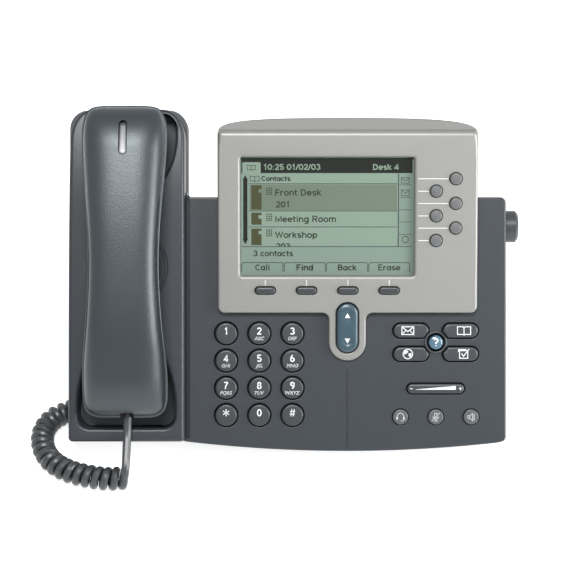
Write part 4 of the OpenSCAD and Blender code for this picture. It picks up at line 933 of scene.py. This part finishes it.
def cradle_top(shape):
    """The cradle's part of the housing: a deck with a rolled rim, two wells, and a speaker dish with sound
    holes. The deck bows down to its upper end by the square of the way there."""
    rim = swept(cradle_outline(), rolled(DECK, 2.3, -4.0, -0.9, 8) + [(-0.4, PARTING)])
    floor, dish, behind = -6.0, 10.9, 9.4
    wells = [swept(loop, rolled(DECK, r, -5.0, 0.0) + [(0.4, -5.7), (1.0, floor)], inwards=True)
             for loop, r in ((ear_well(), 1.6), (mouth_well(), 2.2))]
    steps = swept(circle(GRIP_X, SPEAKER_Y, 24.5, 72), [
        (0.2, DECK), (0, 11.9), (-0.3, 11.55), (-1.5, 11.5), (-1.6, 11.1), (-3.1, 11.05), (-3.2, 11.4),
        (-3.7, 11.4), (-3.8, dish)])
    holes = [circle(GRIP_X + r * math.cos(a), SPEAKER_Y + r * math.sin(a), 0.85, 8)
             for k, r in enumerate((3.4, 6.8, 10.2, 13.6, 16.6, 19.2), 1)
             for a in around(6 * k + (6 if k > 4 else 0))]
    shape.grid(rim).flat(rim[0][:, :2], [w[0][:, :2] for w in wells] + [steps[0][:, :2]], DECK)
    shape.flat(rim[-1][:, :2], (), PARTING)
    plunger = circle(GRIP_X, 166, 3.4, 24)
    for well, hole in zip(wells, ([plunger], [])):
        shape.grid(well).flat(well[-1][:, :2], hole, floor)
    # the plunger's pit has a black floor: painted shade round the plunger
    shape.pit(plunger, floor, -8.9, 1)
    shape.grid(steps).flat(steps[-1][:, :2], holes, dish)
    # each speaker hole is a short pit with a black floor: painted shade for the dark inside
    for hole in holes:
        shape.pit(hole, dish, behind, 1)
    bow, start, run = 4.2, 141, 56
    along = lambda p: ((p[:, 1] - start) / run).clip(0) ** 2
    above_joint = lambda p: ((p[:, 2] - PARTING) / (DECK - PARTING)).clip(0, 1)
    shape.points = [raised(p[:, :2], p[:, 2] - bow * along(p) * above_joint(p)) for p in shape.points]


def housing_top():
    """The upper housing: the cradle, and a key panel with the keys' holes."""
    shape = Shape()
    cradle_top(shape)
    rim = swept(panel_outline(), rolled(0, 1.2, PARTING))
    # each opening with its edge's profile, and 1 where the black mat shows at its bottom
    openings = [(circle(x, y, 7.05, 40), rolled(0, 0.5, HOLE), 1) for x, y in DIAL]
    openings += [(feature_loop(sx, sy, 0.65) + [CLUSTER, HELP_Y], rolled(0, 0.45, HOLE), 1)
                 for sx in (-1, 1) for sy in (-1, 1)]
    openings += [(circle(CLUSTER, HELP_Y, 5.4, 36), rolled(0, 0.3, HOLE), 1),
                 (pill(CLUSTER, VOLUME_Y, 34.8, 6.9), rolled(0, 0.4, HOLE), 1)]
    openings += [(circle(CLUSTER + k * AUDIO_STEP, AUDIO_Y, 4.95, 32), rolled(0, 0.35, HOLE), 1)
                 for k in (-1, 0, 1)]
    # the joint beside the cradle and the line between the dial and the rockers are shallow
    openings += [(rounded(SPLIT - 0.9, SPLIT + 1.5, 1.9, 145.4, 0.3, 2), rolled(0, 0.3, -1.8), 0),
                 (rounded(35.0, 35.8, -3.9, 42.6, 0.39, 3), [(0, 0), (0, -0.5)], 0)]
    holes = []
    for loop, edge, ink in openings:
        ring = swept(loop, edge, inwards=True)
        shape.grid(ring).flat(loop, (), edge[-1][1], ink)
        holes.append(ring[0][:, :2])
    shape.grid(rim).flat(rim[0][:, :2], holes, 0.0).flat(rim[-1][:, :2], (), PARTING)
    # the raised ring round the help key
    lathe(shape, CLUSTER, HELP_Y, [
        (5.4, -1), (5.4, 0.35), (5.6, 0.62), (6.1, 0.75), (6.6, 0.62), (6.95, 0.2), (7.0, -0.3)])
    piece("housing_top", shape, FACE, [housing, black_mat_and_shade], "base", ["top_housing"], sharp=40)


# ---- Display head ----
HEAD_HALF, HEAD_HIGH, HEAD_DEEP = 76.5, 107.5, 44.0
LCD_AT, LCD_SIZE = np.array([-11.95, 56.8]), np.array([102.1, 69.7])
LINE_KEYS = [(63.5, 79.1 - 14.5 * k) for k in range(3)] + [(52.0, 71.8 - 14.5 * k) for k in range(3)]
SOFT_KEYS = [(-11.95 + (k - 1.5) * 24.33, 13.3) for k in range(4)]
ROCKER_Y = -8.9
HEAD_KEY_FOOT = -3.7                # height of the line and soft keys' lower ends


def display_frame(inset=0.0):
    """The outline of the display's opening, drawn in by inset."""
    (x, y), (w, h) = LCD_AT, LCD_SIZE / 2 - inset
    return rounded(x - w, x + w, y - h, y + h, 1.2, 4)


def bezel_outline():
    """Outline of the bezel's front: a rectangle with a tongue below it that holds the rocker."""
    r, w, low = 4.0, 10.95, -17.45
    x, y, top = HEAD_HALF, HEAD_HIGH, 3.0
    return joined(
        arc(-x + r, r, r, r, 180, 270, 8), arc(-w - r, -r, r, r, 90, 0, 8), arc(0, low, w, w, 180, 360, 30),
        arc(w + r, -r, r, r, 180, 90, 8), arc(x - r, r, r, r, 270, 360, 8), upright(x, 10, 98, 10),
        arc(x - top, y - top, top, top, 0, 90, 8), arc(-x + top, y - top, top, top, 90, 180, 8),
        upright(-x, 98, 10, 10))


def head_wide(z):
    """How wide the head is at depth z, as a share of its front: a superellipse of power 3."""
    return (1 - (np.abs(z) / HEAD_DEEP).clip(0, 1) ** 3) ** (1 / 3)


def bezel_front(shape, loop):
    """The front face with its rolled edge and its openings: a quarter round 3.4 mm deep along the top, 1.5
    mm at the sides and 1.1 mm below."""
    r = np.interp(loop[:, 1], [0, 6, 96, 107.4], [1.1, 1.5, 1.5, 3.4])[:, None]
    wall = -7.5
    rings = [np.column_stack([grown(loop, r * (math.sin(t) - 1)), -r * (1 - math.cos(t))])
             for t in quarter(7)]
    rings.append(raised(loop, wall))
    openings = [(display_frame(), 1.9, -5.1)]
    openings += [(circle(x, y, 3.9, 28), 0.25, -4.6) for x, y in LINE_KEYS]
    openings += [(pill(x, y, 12.6, 4.9), 0.35, -4.6) for x, y in SOFT_KEYS]
    openings += [(pill(0, ROCKER_Y, 13.5, 30.3, 20), 0.7, -7.2)]
    holes = []
    # each opening ends in a black floor: painted shade under the keys and the display
    for hole, radius, deep in openings:
        ring = swept(hole, rolled(0, radius, deep), inwards=True)
        shape.grid(ring).flat(hole, (), deep, 1)
        holes.append(ring[0][:, :2])
    shape.grid(np.array(rings)).flat(rings[0][:, :2], holes, 0.0).flat(rings[-1][:, :2], (), wall)


def bezel_sides(shape, loop):
    """The side walls, from behind the front face down to 0.4 mm below the key panel, 2.2 mm thick."""
    sin_lean, cos_lean, under = 0.0872, 0.9962, 5.0     # the head leans 5 degrees more than the panel
    wall = loop[(loop[:, 1] >= 0) & (loop[:, 1] < 104) & (np.abs(loop[:, 0]) > 20)]
    for side in (-1, 1):
        edge = wall[wall[:, 0] * side > 0]
        edge = edge[np.argsort(edge[:, 1], kind="stable")]
        low = -(under + sin_lean * edge[:, 1]) / cos_lean - 0.4
        strip = [np.column_stack([edge[:, 0] * head_wide(z), edge[:, 1], z])
                 for z in (np.full(len(edge), -3.0), np.minimum(-4.0, low * 0.5), low)]
        inner = [s - [side * 2.2, 0, 0] for s in strip[::-1]]
        shape.grid(np.array(strip + inner), across=False, along=True)


def bezel_roof(shape):
    """The roof: the head's plan, a superellipse, between its lower edge and a plane that rises to the
    back."""
    front, low, slope = -3.4, 95.5, math.tan(math.radians(9.5))
    a = np.radians(np.linspace(0, 180, 61))
    c, s = np.cos(a), np.sin(a)
    plan = np.column_stack([HEAD_HALF * np.sign(c) * np.abs(c) ** (2 / 3), -HEAD_DEEP * s ** (2 / 3)])[1:-1]
    plan = joined([[HEAD_HALF, front]], plan[plan[:, 1] < front - 0.2], [[-HEAD_HALF, front]])[::-1]
    roof = lambda z: HEAD_HIGH - (z - front) * slope
    lower = lambda z: low + 0 * z
    stand = lambda p, height: raised(p, height)[:, [0, 2, 1]]
    rows = [stand(grown(plan, -d), height(plan[:, 1]) - h)
            for d, height, h in ((0, lower, 0), (0, roof, 1.0), (0.3, roof, 0.3), (1.0, roof, 0))]
    shape.grid(np.array(rows))
    for edge, height in ((plan, lower), (grown(plan, -1.0), roof)):
        sheet = Shape().flat(edge)
        p = sheet.points[0][:, :2]
        shape.add(stand(p, height(p[:, 1])), sheet.faces)


def bezel():
    """The silver bezel, with fine ridges that lead from the display to each key beside and below it."""
    shape = Shape()
    loop = bezel_outline()
    bezel_front(shape, loop)
    bezel_sides(shape, loop)
    bezel_roof(shape)
    ridges = [[(41.4, y), (x - 4.4, y)] for x, y in LINE_KEYS]
    ridges += [[(x, 19.6), (x, y + 2.9)] for x, y in SOFT_KEYS]
    # the ridges take the paler lacquer: painted highlight
    for ridge in ridges:
        stroke(shape, ridge, 0.42, -0.02, 2, rise=0.16)
    piece("display_bezel_shell", shape, HEAD, [silver, black_mat_and_shade, ridge_silver_highlight], "base", ["display_bezel"],
          sharp=40)


# ---- Display ----
def lcd_point(x, y):
    """A place on the display, from columns 178 to 985 and rows 245 to 790 of its layout, in mm."""
    return LCD_AT[0] + (x - 581.5) * 0.12652, LCD_AT[1] - (y - 517.5) * 0.12789


def display_screen():
    """The liquid crystal display behind its window: ground, bars, boxes, icons and lines of characters."""
    shape = Shape()
    ground, dark, olive, mid, pale, print_dark = range(6)
    top = -3.5
    button(shape, display_frame(0.05), top, -5.0, 0.05, 0.05)

    def bar(x0, y0, x1, y1, ink, level=1, r=0.0):
        (a, d), (c, b) = lcd_point(x0, y0), lcd_point(x1, y1)
        loop = rounded(a, c, b, d, r, 4) if r else np.array([[a, b], [c, b], [c, d], [a, d]])
        patch(shape, loop, top, ink, rise=0.03 * level)

    def line(points, ink, width=0.3, level=3, closed=False):
        stroke(shape, [lcd_point(*p) for p in points], width, top, ink, closed, rise=0.03 * level)

    def say(text, x, y, size, ink, align=-1, level=3, weight=0.68):
        px, py = lcd_point(x, y)
        signs(shape, text, px, py, top, size * 0.115, weight, ink, align, 0.03 * level, 1.24)

    def book(x, y, w, ink):
        right = np.array([(0, .75), (.2, .6), (1, .6), (1, -.45), (.25, -.45), (0, -.25)])
        cover = np.vstack([right[::-1] * [-1, 1], right[1:-1]])
        line(w * cover + [x, y], ink, 0.35, closed=True)
        line([(x, y - w * .25), (x, y + w * .75)], ink, 0.35)

    bar(182, 249, 978, 318, dark)
    bar(187, 268, 272, 322, pale, 2, 0.8)
    book(228, 291, 19, print_dark)
    say("10:25 01/02/03", 283, 290, 29, pale)
    say("Desk 4", 915, 290, 29, pale, 1)
    bar(218, 322, 908, 364, pale)
    book(244, 342, 21, print_dark)
    say("Contacts", 274, 343, 25, print_dark)
    # list rows, the first one chosen
    bar(220, 371, 906, 490, mid)
    for top_y, end_y in ((495, 563), (569, 652)):
        bar(220, top_y, 906, end_y, pale)
    for y0, y1 in ((374, 486), (500, 556), (574, 650)):
        bar(228, y0, 276, y1, olive, 2)
    for y in (400, 520, 592):
        bar(262, y - 8, 276, y + 8, mid if y == 400 else pale, 3)
        for i in range(3):
            for j in range(4):
                bar(298 + 10.5 * i, y - 15 + 9.2 * j, 304.5 + 10.5 * i, y - 9.5 + 9.2 * j, print_dark, 3)
    say("Front Desk", 338, 407, 32, print_dark)
    say("201", 342, 462, 30, print_dark)
    say("Meeting Room", 338, 529, 32, print_dark)
    say("Workshop", 338, 602, 32, print_dark)
    say("203", 342, 655, 30, print_dark)
    for y in (367, 492.5, 566):
        line([(216, y), (908, y)], print_dark, 0.28)
    # the scroll bar
    bar(191, 352, 210, 622, dark, 2)
    for y, way in ((328, 1), (645, -1)):
        p = [lcd_point(200, y), lcd_point(188, y + 24 * way), lcd_point(213, y + 24 * way)]
        patch(shape, np.array(p if way > 0 else p[::-1]), top, dark, rise=0.09)
    # the column beside the line keys
    line([(913, 320), (913, 656)], print_dark, 0.45)
    for y in (372, 430, 487, 543, 600):
        line([(916, y), (972, y)], print_dark, 0.25)
    for y in (352, 409):
        line([(926, y - 13), (962, y - 13), (962, y + 13), (926, y + 13)], print_dark, 0.3, closed=True)
        line([(926, y - 13), (944, y + 3), (962, y - 13)], print_dark, 0.3)
    handset_mark = [(945 + 15 * math.cos(a), 624 + 15 * math.sin(a)) for a in np.linspace(0, 6.1, 14)]
    line(handset_mark, print_dark, 0.35, closed=True)
    # status line and the four soft key boxes
    bar(182, 657, 978, 728, ground, 4)
    line([(182, 657), (975, 657)], print_dark, 0.3, 5)
    say("3 contacts", 236, 688, 29, print_dark, level=5)
    for x0, x1, text, weight in ((184, 376, "Call", 0.58), (382, 573, "Find", 0.72), (579, 771, "Back", 0.58),
                                 (777, 966, "Erase", 0.58)):
        line([(x0, 772), (x0, 738), (x0 + 6, 731), (x1 - 6, 731), (x1, 738), (x1, 772)], print_dark, 0.28, 5)
        say(text, (x0 + x1) / 2, 753, 30, print_dark, 0, 5, weight)
    piece("display_screen", shape, HEAD, [lcd_green, lcd_bar, lcd_olive, lcd_mid, lcd_pale, lcd_ink], "base",
          ["display_window"], sharp=30, weighted=False)


# ---- Keys ----
def icon(kind):
    """Lines of an icon about its own middle, in mm: each is (points, closed, filled)."""
    line = lambda *points: (points, False, False)
    shut = lambda *points: (points, True, False)
    full = lambda *points: (points, True, True)
    return {
        "envelope": [shut((-3.5, -2.3), (3.5, -2.3), (3.5, 2.3), (-3.5, 2.3)),
                     line((-3.4, 2.2), (0, -0.5), (3.4, 2.2)), line((-3.4, -2.2), (-1.1, 0.3)),
                     line((3.4, -2.2), (1.1, 0.3))],
        "book": [shut((-3.9, -2.2), (-0.6, -2.2), (0, -2.6), (0.6, -2.2), (3.9, -2.2), (3.9, 2.3), (0.7, 2.3),
                      (0, 1.9), (-0.7, 2.3), (-3.9, 2.3)), line((0, -2.5), (0, 1.9))],
        "globe": [shut(*circle(0, 0, 2.8, 28)),
                  full((-1.9, -0.6), (-1.4, 0.2), (-0.3, 0.6), (0.2, 1.6), (-0.9, 2.2), (-2.2, 1.2)),
                  full((0.5, -1.1), (1.2, -2.0), (2.2, -0.6), (1.9, 0.5), (0.3, 0.2))],
        "tick": [shut((-2.6, -2.5), (2.2, -2.5), (2.2, 2.0), (-2.6, 2.0)),
                 line((-1.4, 0.3), (-0.3, -1.3), (3.0, 2.9)), line((-3.2, 1.2), (-3.2, 2.6), (1.2, 2.6))],
        "headset": [line(*arc(0, 0.2, 2.0, 2.1, -10, 190, 18)), full(*rounded(-2.5, -1.5, -1.5, 0.3, 0.3, 3)),
                    full(*rounded(1.5, 2.5, -1.5, 0.3, 0.3, 3)), line((2.0, -1.5), (1.4, -2.3), (0.2, -2.4))],
        "muted": [shut(*pill(0, 0.9, 1.5, 2.9, 6)), line(*arc(0, 0.3, 1.7, 1.6, 180, 360, 12)),
                  line((0, -1.3), (0, -2.3)), line((-1.2, -2.3), (1.2, -2.3)),
                  line((-2.3, -2.2), (2.3, 2.5))],
        "speaker": [shut((-2.0, -0.8), (-0.8, -0.8), (0.9, -2.2), (0.9, 2.2), (-0.8, 0.8), (-2.0, 0.8)),
                    line((-0.8, -0.8), (-0.8, 0.8)), line((1.8, -1.9), (1.8, 1.9))],
    }[kind]


def draw(shape, kind, x, y, z, ink, width):
    """An icon drawn on the plane at height z about x, y."""
    for points, closed, filled in icon(kind):
        line = np.asarray(points, float) + [x, y]
        if filled:
            area = (line[:, 0] * np.roll(line[:, 1], -1) - np.roll(line[:, 0], -1) * line[:, 1]).sum()
            patch(shape, line if area > 0 else line[::-1], z, ink)
        else:
            stroke(shape, line, width, z, ink, closed)


def dial_keys():
    """Twelve round keys with a rolled edge, each with its digit and letters."""
    groups = ("", "ABC", "DEF", "GHI", "JKL", "MNO", "PQRS", "TUV", "WXYZ", "", "", "")
    top = 2.0
    for (x, y), sign, letters_below in zip(DIAL, "123456789*0#", groups):
        name = "key_" + {"*": "star", "#": "hash"}.get(sign, sign)
        shape = Shape()
        face = [(0, top), (3.0, top), (5.0, top - 0.03)]
        round_key(shape, x, y, face, (5.3, 1.1, top - 0.95, 0.9), KEY_FOOT, 6, 48)
        size, weight = {"*": (5.2, 0.55), "#": (5.0, 0.5)}.get(sign, (4.2, 0.74))
        signs(shape, sign, x, y + 1.5, top, size, weight, 1)
        if letters_below:
            write(shape, letters_below, x, y - 2.8, top, 2.1, 1, bold=0.07, shear=0.22)
        piece("dial_" + name, shape, FACE, [key_grey, white_ink], name, [name], sharp=50)


def feature_keys():
    """Four keys with icons about the help key, and its dome: a paraboloid of revolution with a rolled
    edge."""
    for name, kind, sx, sy in (("messages_key", "envelope", -1, 1), ("directories_key", "book", 1, 1),
                               ("services_key", "globe", -1, -1), ("settings_key", "tick", 1, -1)):
        top = 2.0
        shape = button(Shape(), feature_loop(sx, sy) + [CLUSTER, HELP_Y], top, KEY_FOOT, 1.3, 0.8)
        draw(shape, kind, CLUSTER + sx * 16.6, HELP_Y + sy * FEATURE_Y, top, 1, 0.5)
        piece(name + "_cap", shape, FACE, [key_grey, white_ink], name, [name], sharp=50)
    shape = Shape()
    dome = lambda r: 2.5 - 0.045 * r * r
    profile = [(r, dome(r)) for r in (0, 0.8, 1.6, 2.4, 3.0, 3.5)]
    profile += [(3.95, 1.6), (4.2, 1.1), (4.25, 0.3), (4.25, KEY_FOOT), (0, KEY_FOOT)]
    lathe(shape, CLUSTER, HELP_Y, profile)
    first = len(shape.points)
    signs(shape, "?", CLUSTER, HELP_Y + 0.1, 0, 4.6, 0.8, 1)
    drape(shape, first, lambda x, y: dome(np.hypot(x - CLUSTER, y - HELP_Y)))
    piece("help_key_dome", shape, FACE, [help_blue, white_ink], "help_key", ["help_key"], sharp=50)


def sound_keys():
    """The volume rocker with its wedge between minus and plus, and the three audio keys with icons."""
    top = 1.8
    middle = np.array([CLUSTER, VOLUME_Y])
    shape = button(Shape(), pill(*middle, 33.6, 5.7, 12), top, KEY_FOOT, 1.5, 0.9)
    for ends in ([(-15.4, 0), (-13.8, 0)], [(13.6, 0), (15.4, 0)], [(14.5, -0.9), (14.5, 0.9)]):
        stroke(shape, middle + ends, 0.4, top, 1)
    patch(shape, middle + [(-12.0, -0.6), (11.8, -0.6), (11.8, 1.6), (-12.0, -0.45)], top, 1)
    piece("volume_rocker_bar", shape, FACE, [key_grey, white_ink], "volume_rocker", ["volume_rocker"],
          sharp=50)
    audio = ("headset_key", "headset", -1), ("mute_key", "muted", 0), ("speaker_key", "speaker", 1)
    for name, kind, k in audio:
        shape = Shape()
        x = CLUSTER + k * AUDIO_STEP
        round_key(shape, x, AUDIO_Y, [(0, 1.25), (2.4, 1.23)], (3.75, 0.8, 0.5, 0.7), KEY_FOOT, 5, 40)
        draw(shape, kind, x, AUDIO_Y, 1.24, 1, 0.36)
        piece(name + "_cap", shape, FACE, [audio_key_grey, grey_ink], name, [name], sharp=50)


def head_keys():
    """Round line keys and long soft keys."""
    for k, (x, y) in enumerate(LINE_KEYS, 1):
        shape = round_key(Shape(), x, y, [(0, 1.55), (1.6, 1.5)], (2.7, 0.8, 0.6, 0.75), HEAD_KEY_FOOT, 5, 36)
        piece(f"line_key_{k}_cap", shape, HEAD, line_key_grey, f"line_key_{k}", [f"line_key_{k}"], sharp=50)
    for k, (x, y) in enumerate(SOFT_KEYS, 1):
        shape = button(Shape(), pill(x, y, 11.8, 4.1, 10), 1.6, HEAD_KEY_FOOT, 1.2, 0.9)
        piece(f"soft_key_{k}_cap", shape, HEAD, soft_key_grey, f"soft_key_{k}", [f"soft_key_{k}"], sharp=60)


def rocker():
    """The display rocker: a domed slot shape with two dimples, and an arrow in each. A dimple is 0.75 mm
    deep, times e to minus the fourth power of the distance from its middle over 3.1 mm."""
    shape = Shape()
    w, h, top, shoulder, foot = 12.2, 29.0, 2.0, 0.3, -6.1
    loop = pill(0, 0, w, h, 16)
    # the long sides are cut into seven, so that the dome follows them
    sides = np.vstack([np.linspace(p, q, 8)[:-1] if abs(p[1] - q[1]) > 4 else p[None]
                       for p, q in zip(loop, np.roll(loop, -1, 0))])
    dimple = lambda x, y: -0.75 * sum(np.exp(-((x ** 2 + (y - s) ** 2) / 3.1 ** 2) ** 2) for s in (-7.4, 7.4))
    spine = (w - h) / 2, (h - w) / 2
    domed(shape, sides, spine, shoulder, lambda y: top + 0 * y, 3.0, 24, 2.6, dimple)
    shape.grid(np.array([raised(sides, shoulder), raised(sides, foot)])).flat(sides, (), foot)
    first = len(shape.points)
    for s in (-1, 1):
        patch(shape, [(-1.6, s * 6.1), (1.6, s * 6.1), (0, s * 9.0)][::s], 0, 1, rise=0.12)
    drape(shape, first, lambda x, y: top + 0.05 + dimple(x, y))
    shape.points = [p + [0, ROCKER_Y, 0] for p in shape.points]
    piece("nav_rocker_cap", shape, HEAD, [rocker_blue, white_ink], "nav_rocker", ["nav_rocker"], sharp=50)


# ---- Back ----
def stand_ribs():
    """Stiffening ribs on the footstand's back and a raised rim round each wall-mount keyhole, 1 mm high."""
    shape = Shape()
    thick, high, back = 1.3, 1.0, 4.98      # back is where the footstand's back face lies
    for w in (-47.0, -101.0):
        stroke(shape, [(-52.4, w), (121.9, w)], thick, 0, 0, rise=high)
    for x in (-38.0, 16.0, 34.75, 53.5, 107.5):
        stroke(shape, [(x, -100.5), (x, -47.5)], thick - 0.1, 0, 0, rise=high)
    for x in (-16.25, 85.75):
        stroke(shape, pill(x, -74.5, 17.0, 29.0), thick, 0, 0, closed=True, rise=high)
    shape.points = [np.column_stack([p[:, 0], p[:, 2] + back, p[:, 1]]) for p in shape.points]
    piece("footstand_ribs", shape, LEG, underside, "footstand", sharp=30)


def underside_trim():
    """Vent slots under the ear well, drawn as flat black patches that are painted shade for their dark
    insides, and a bare foil plate in a raised frame where a rating label would go."""
    shape = Shape()
    # each vent slot is a flat black patch: painted shade
    for k in range(9):
        patch(shape, pill(-112.5 + 5.0 * k, 170.0, 1.9, 23.0, 8), -31.05, 1, rise=0.07)
    stroke(shape, rounded(-117.0, -68.0, 118.0, 152.0, 2.5, 5), 0.9, -31.6, 0, closed=True, rise=0.62)
    patch(shape, rounded(-115.0, -70.0, 120.0, 150.0, 1.2, 5), -31.1, 2, rise=0.12)
    piece("underside_trim", shape, FACE, [underside, black_mat_and_shade, foil], "base", sharp=30)


# ---- Everything on its body ----
handset()
stand_ribs()
underside_trim()
handset_caps()
lamp_lens()
housing_top()
bezel()
display_screen()
dial_keys()
feature_keys()
sound_keys()
head_keys()
rocker()
for material, nodes in (
        (underside, ("bottom_housing", "display_rear_cover", "footstand")),
        (housing, ("handset_rest_tab",)), (soft_key_grey, ("footstand_button",)), (zinc, ("housing_screws",)),
        (jack_black, ("rear_jacks", "display_panel", "loudspeaker")),
        (rubber, ("base_feet", "footstand_feet")),
        (black_mat_and_shade, ("hook_plunger", "key_mats", "ear_receiver", "mouth_microphone")),
        (board_green, ("main_board", "display_board")), (clear_plug, ("handset_plug", "base_plug"))):
    for node in nodes:
        dress(node, material)


# ---- Room ----
def seen_by(tree, way):
    """1 for rays from the camera and for those that gloss or glass sends on, else 0."""
    seen = way.outputs["Is Camera Ray"]
    for kind in ("Is Glossy Ray", "Is Transmission Ray"):
        seen = add(tree, "ShaderNodeMath", {0: seen, 1: way.outputs[kind]}, operation="MAXIMUM").outputs[0]
    return seen


def room():
    """A pale table and soft studio light. What the camera, gloss and glass see of the table and sky is
    white."""
    world = bpy.data.worlds.new("studio")
    bpy.context.scene.world = world
    world.use_nodes = True
    tree = world.node_tree
    tree.nodes.clear()
    way = add(tree, "ShaderNodeLightPath")
    seen = add(tree, "ShaderNodeBackground", {"Color": (1, 1, 1, 1), "Strength": 1.0})
    lit = add(tree, "ShaderNodeBackground", {"Color": (0.93, 0.96, 1.0, 1), "Strength": 0.14})
    which = add(tree, "ShaderNodeMixShader", {0: seen_by(tree, way), 1: lit.outputs[0], 2: seen.outputs[0]})
    add(tree, "ShaderNodeOutputWorld", {"Surface": which.outputs[0]})
    floor_paint = bpy.data.materials.new("table_pale")
    floor_paint.use_nodes = True
    tree = floor_paint.node_tree
    tree.nodes.clear()
    way = add(tree, "ShaderNodeLightPath")
    matt = add(tree, "ShaderNodeBsdfDiffuse", {"Color": (0.85, 0.85, 0.84, 1)})
    glow = add(tree, "ShaderNodeEmission", {"Color": (1, 1, 1, 1), "Strength": 0.82})
    both = add(tree, "ShaderNodeAddShader", {0: matt.outputs[0], 1: glow.outputs[0]})
    which = add(tree, "ShaderNodeMixShader", {0: seen_by(tree, way), 1: matt.outputs[0], 2: both.outputs[0]})
    add(tree, "ShaderNodeOutputMaterial", {"Surface": which.outputs[0]})
    mesh = bpy.data.meshes.new("table")
    mesh.from_pydata([(-6, -6, 0), (6, -6, 0), (6, 8, 0), (-6, 8, 0)], [], [(0, 1, 2, 3)])
    mesh.materials.append(floor_paint)
    table = bpy.data.objects.new("table", mesh)
    bpy.context.scene.collection.objects.link(table)


def lamp(name, where, at, size, power):
    """A soft rectangular lamp at a place, turned towards a point, both in metres."""
    light = bpy.data.lights.new(name, "AREA")
    light.shape = "RECTANGLE"
    light.size, light.size_y = size
    light.energy = power
    thing = bpy.data.objects.new(name, light)
    thing.location = where
    thing.rotation_euler = (Vector(at) - Vector(where)).to_track_quat("-Z", "Y").to_euler()
    bpy.context.scene.collection.objects.link(thing)


bpy.context.scene.view_settings.view_transform = "Standard"
room()
# Each stands towards (right, up the key panel, square to it) from the phone's middle, so far away in metres.
PHONE_MIDDLE = np.array([0, 0.03, 0.08])
for name, way, far, size, power in (("key", (0.86, 0.06, 0.50), 0.78, (0.46, 0.50), 7.0),
                                    ("above", (-0.08, 0.46, 0.88), 1.6, (0.60, 0.40), 21.0),
                                    ("left", (-0.85, 0.2, 0.48), 1.4, (0.25, 0.7), 0.3),
                                    ("back", (-0.25, 0.2, -0.95), 1.5, (0.8, 0.6), 5.0)):
    towards = place(np.array(way) / np.linalg.norm(way), FACE_TILT, 0)
    lamp(name, PHONE_MIDDLE + far * towards, PHONE_MIDDLE, size, power)
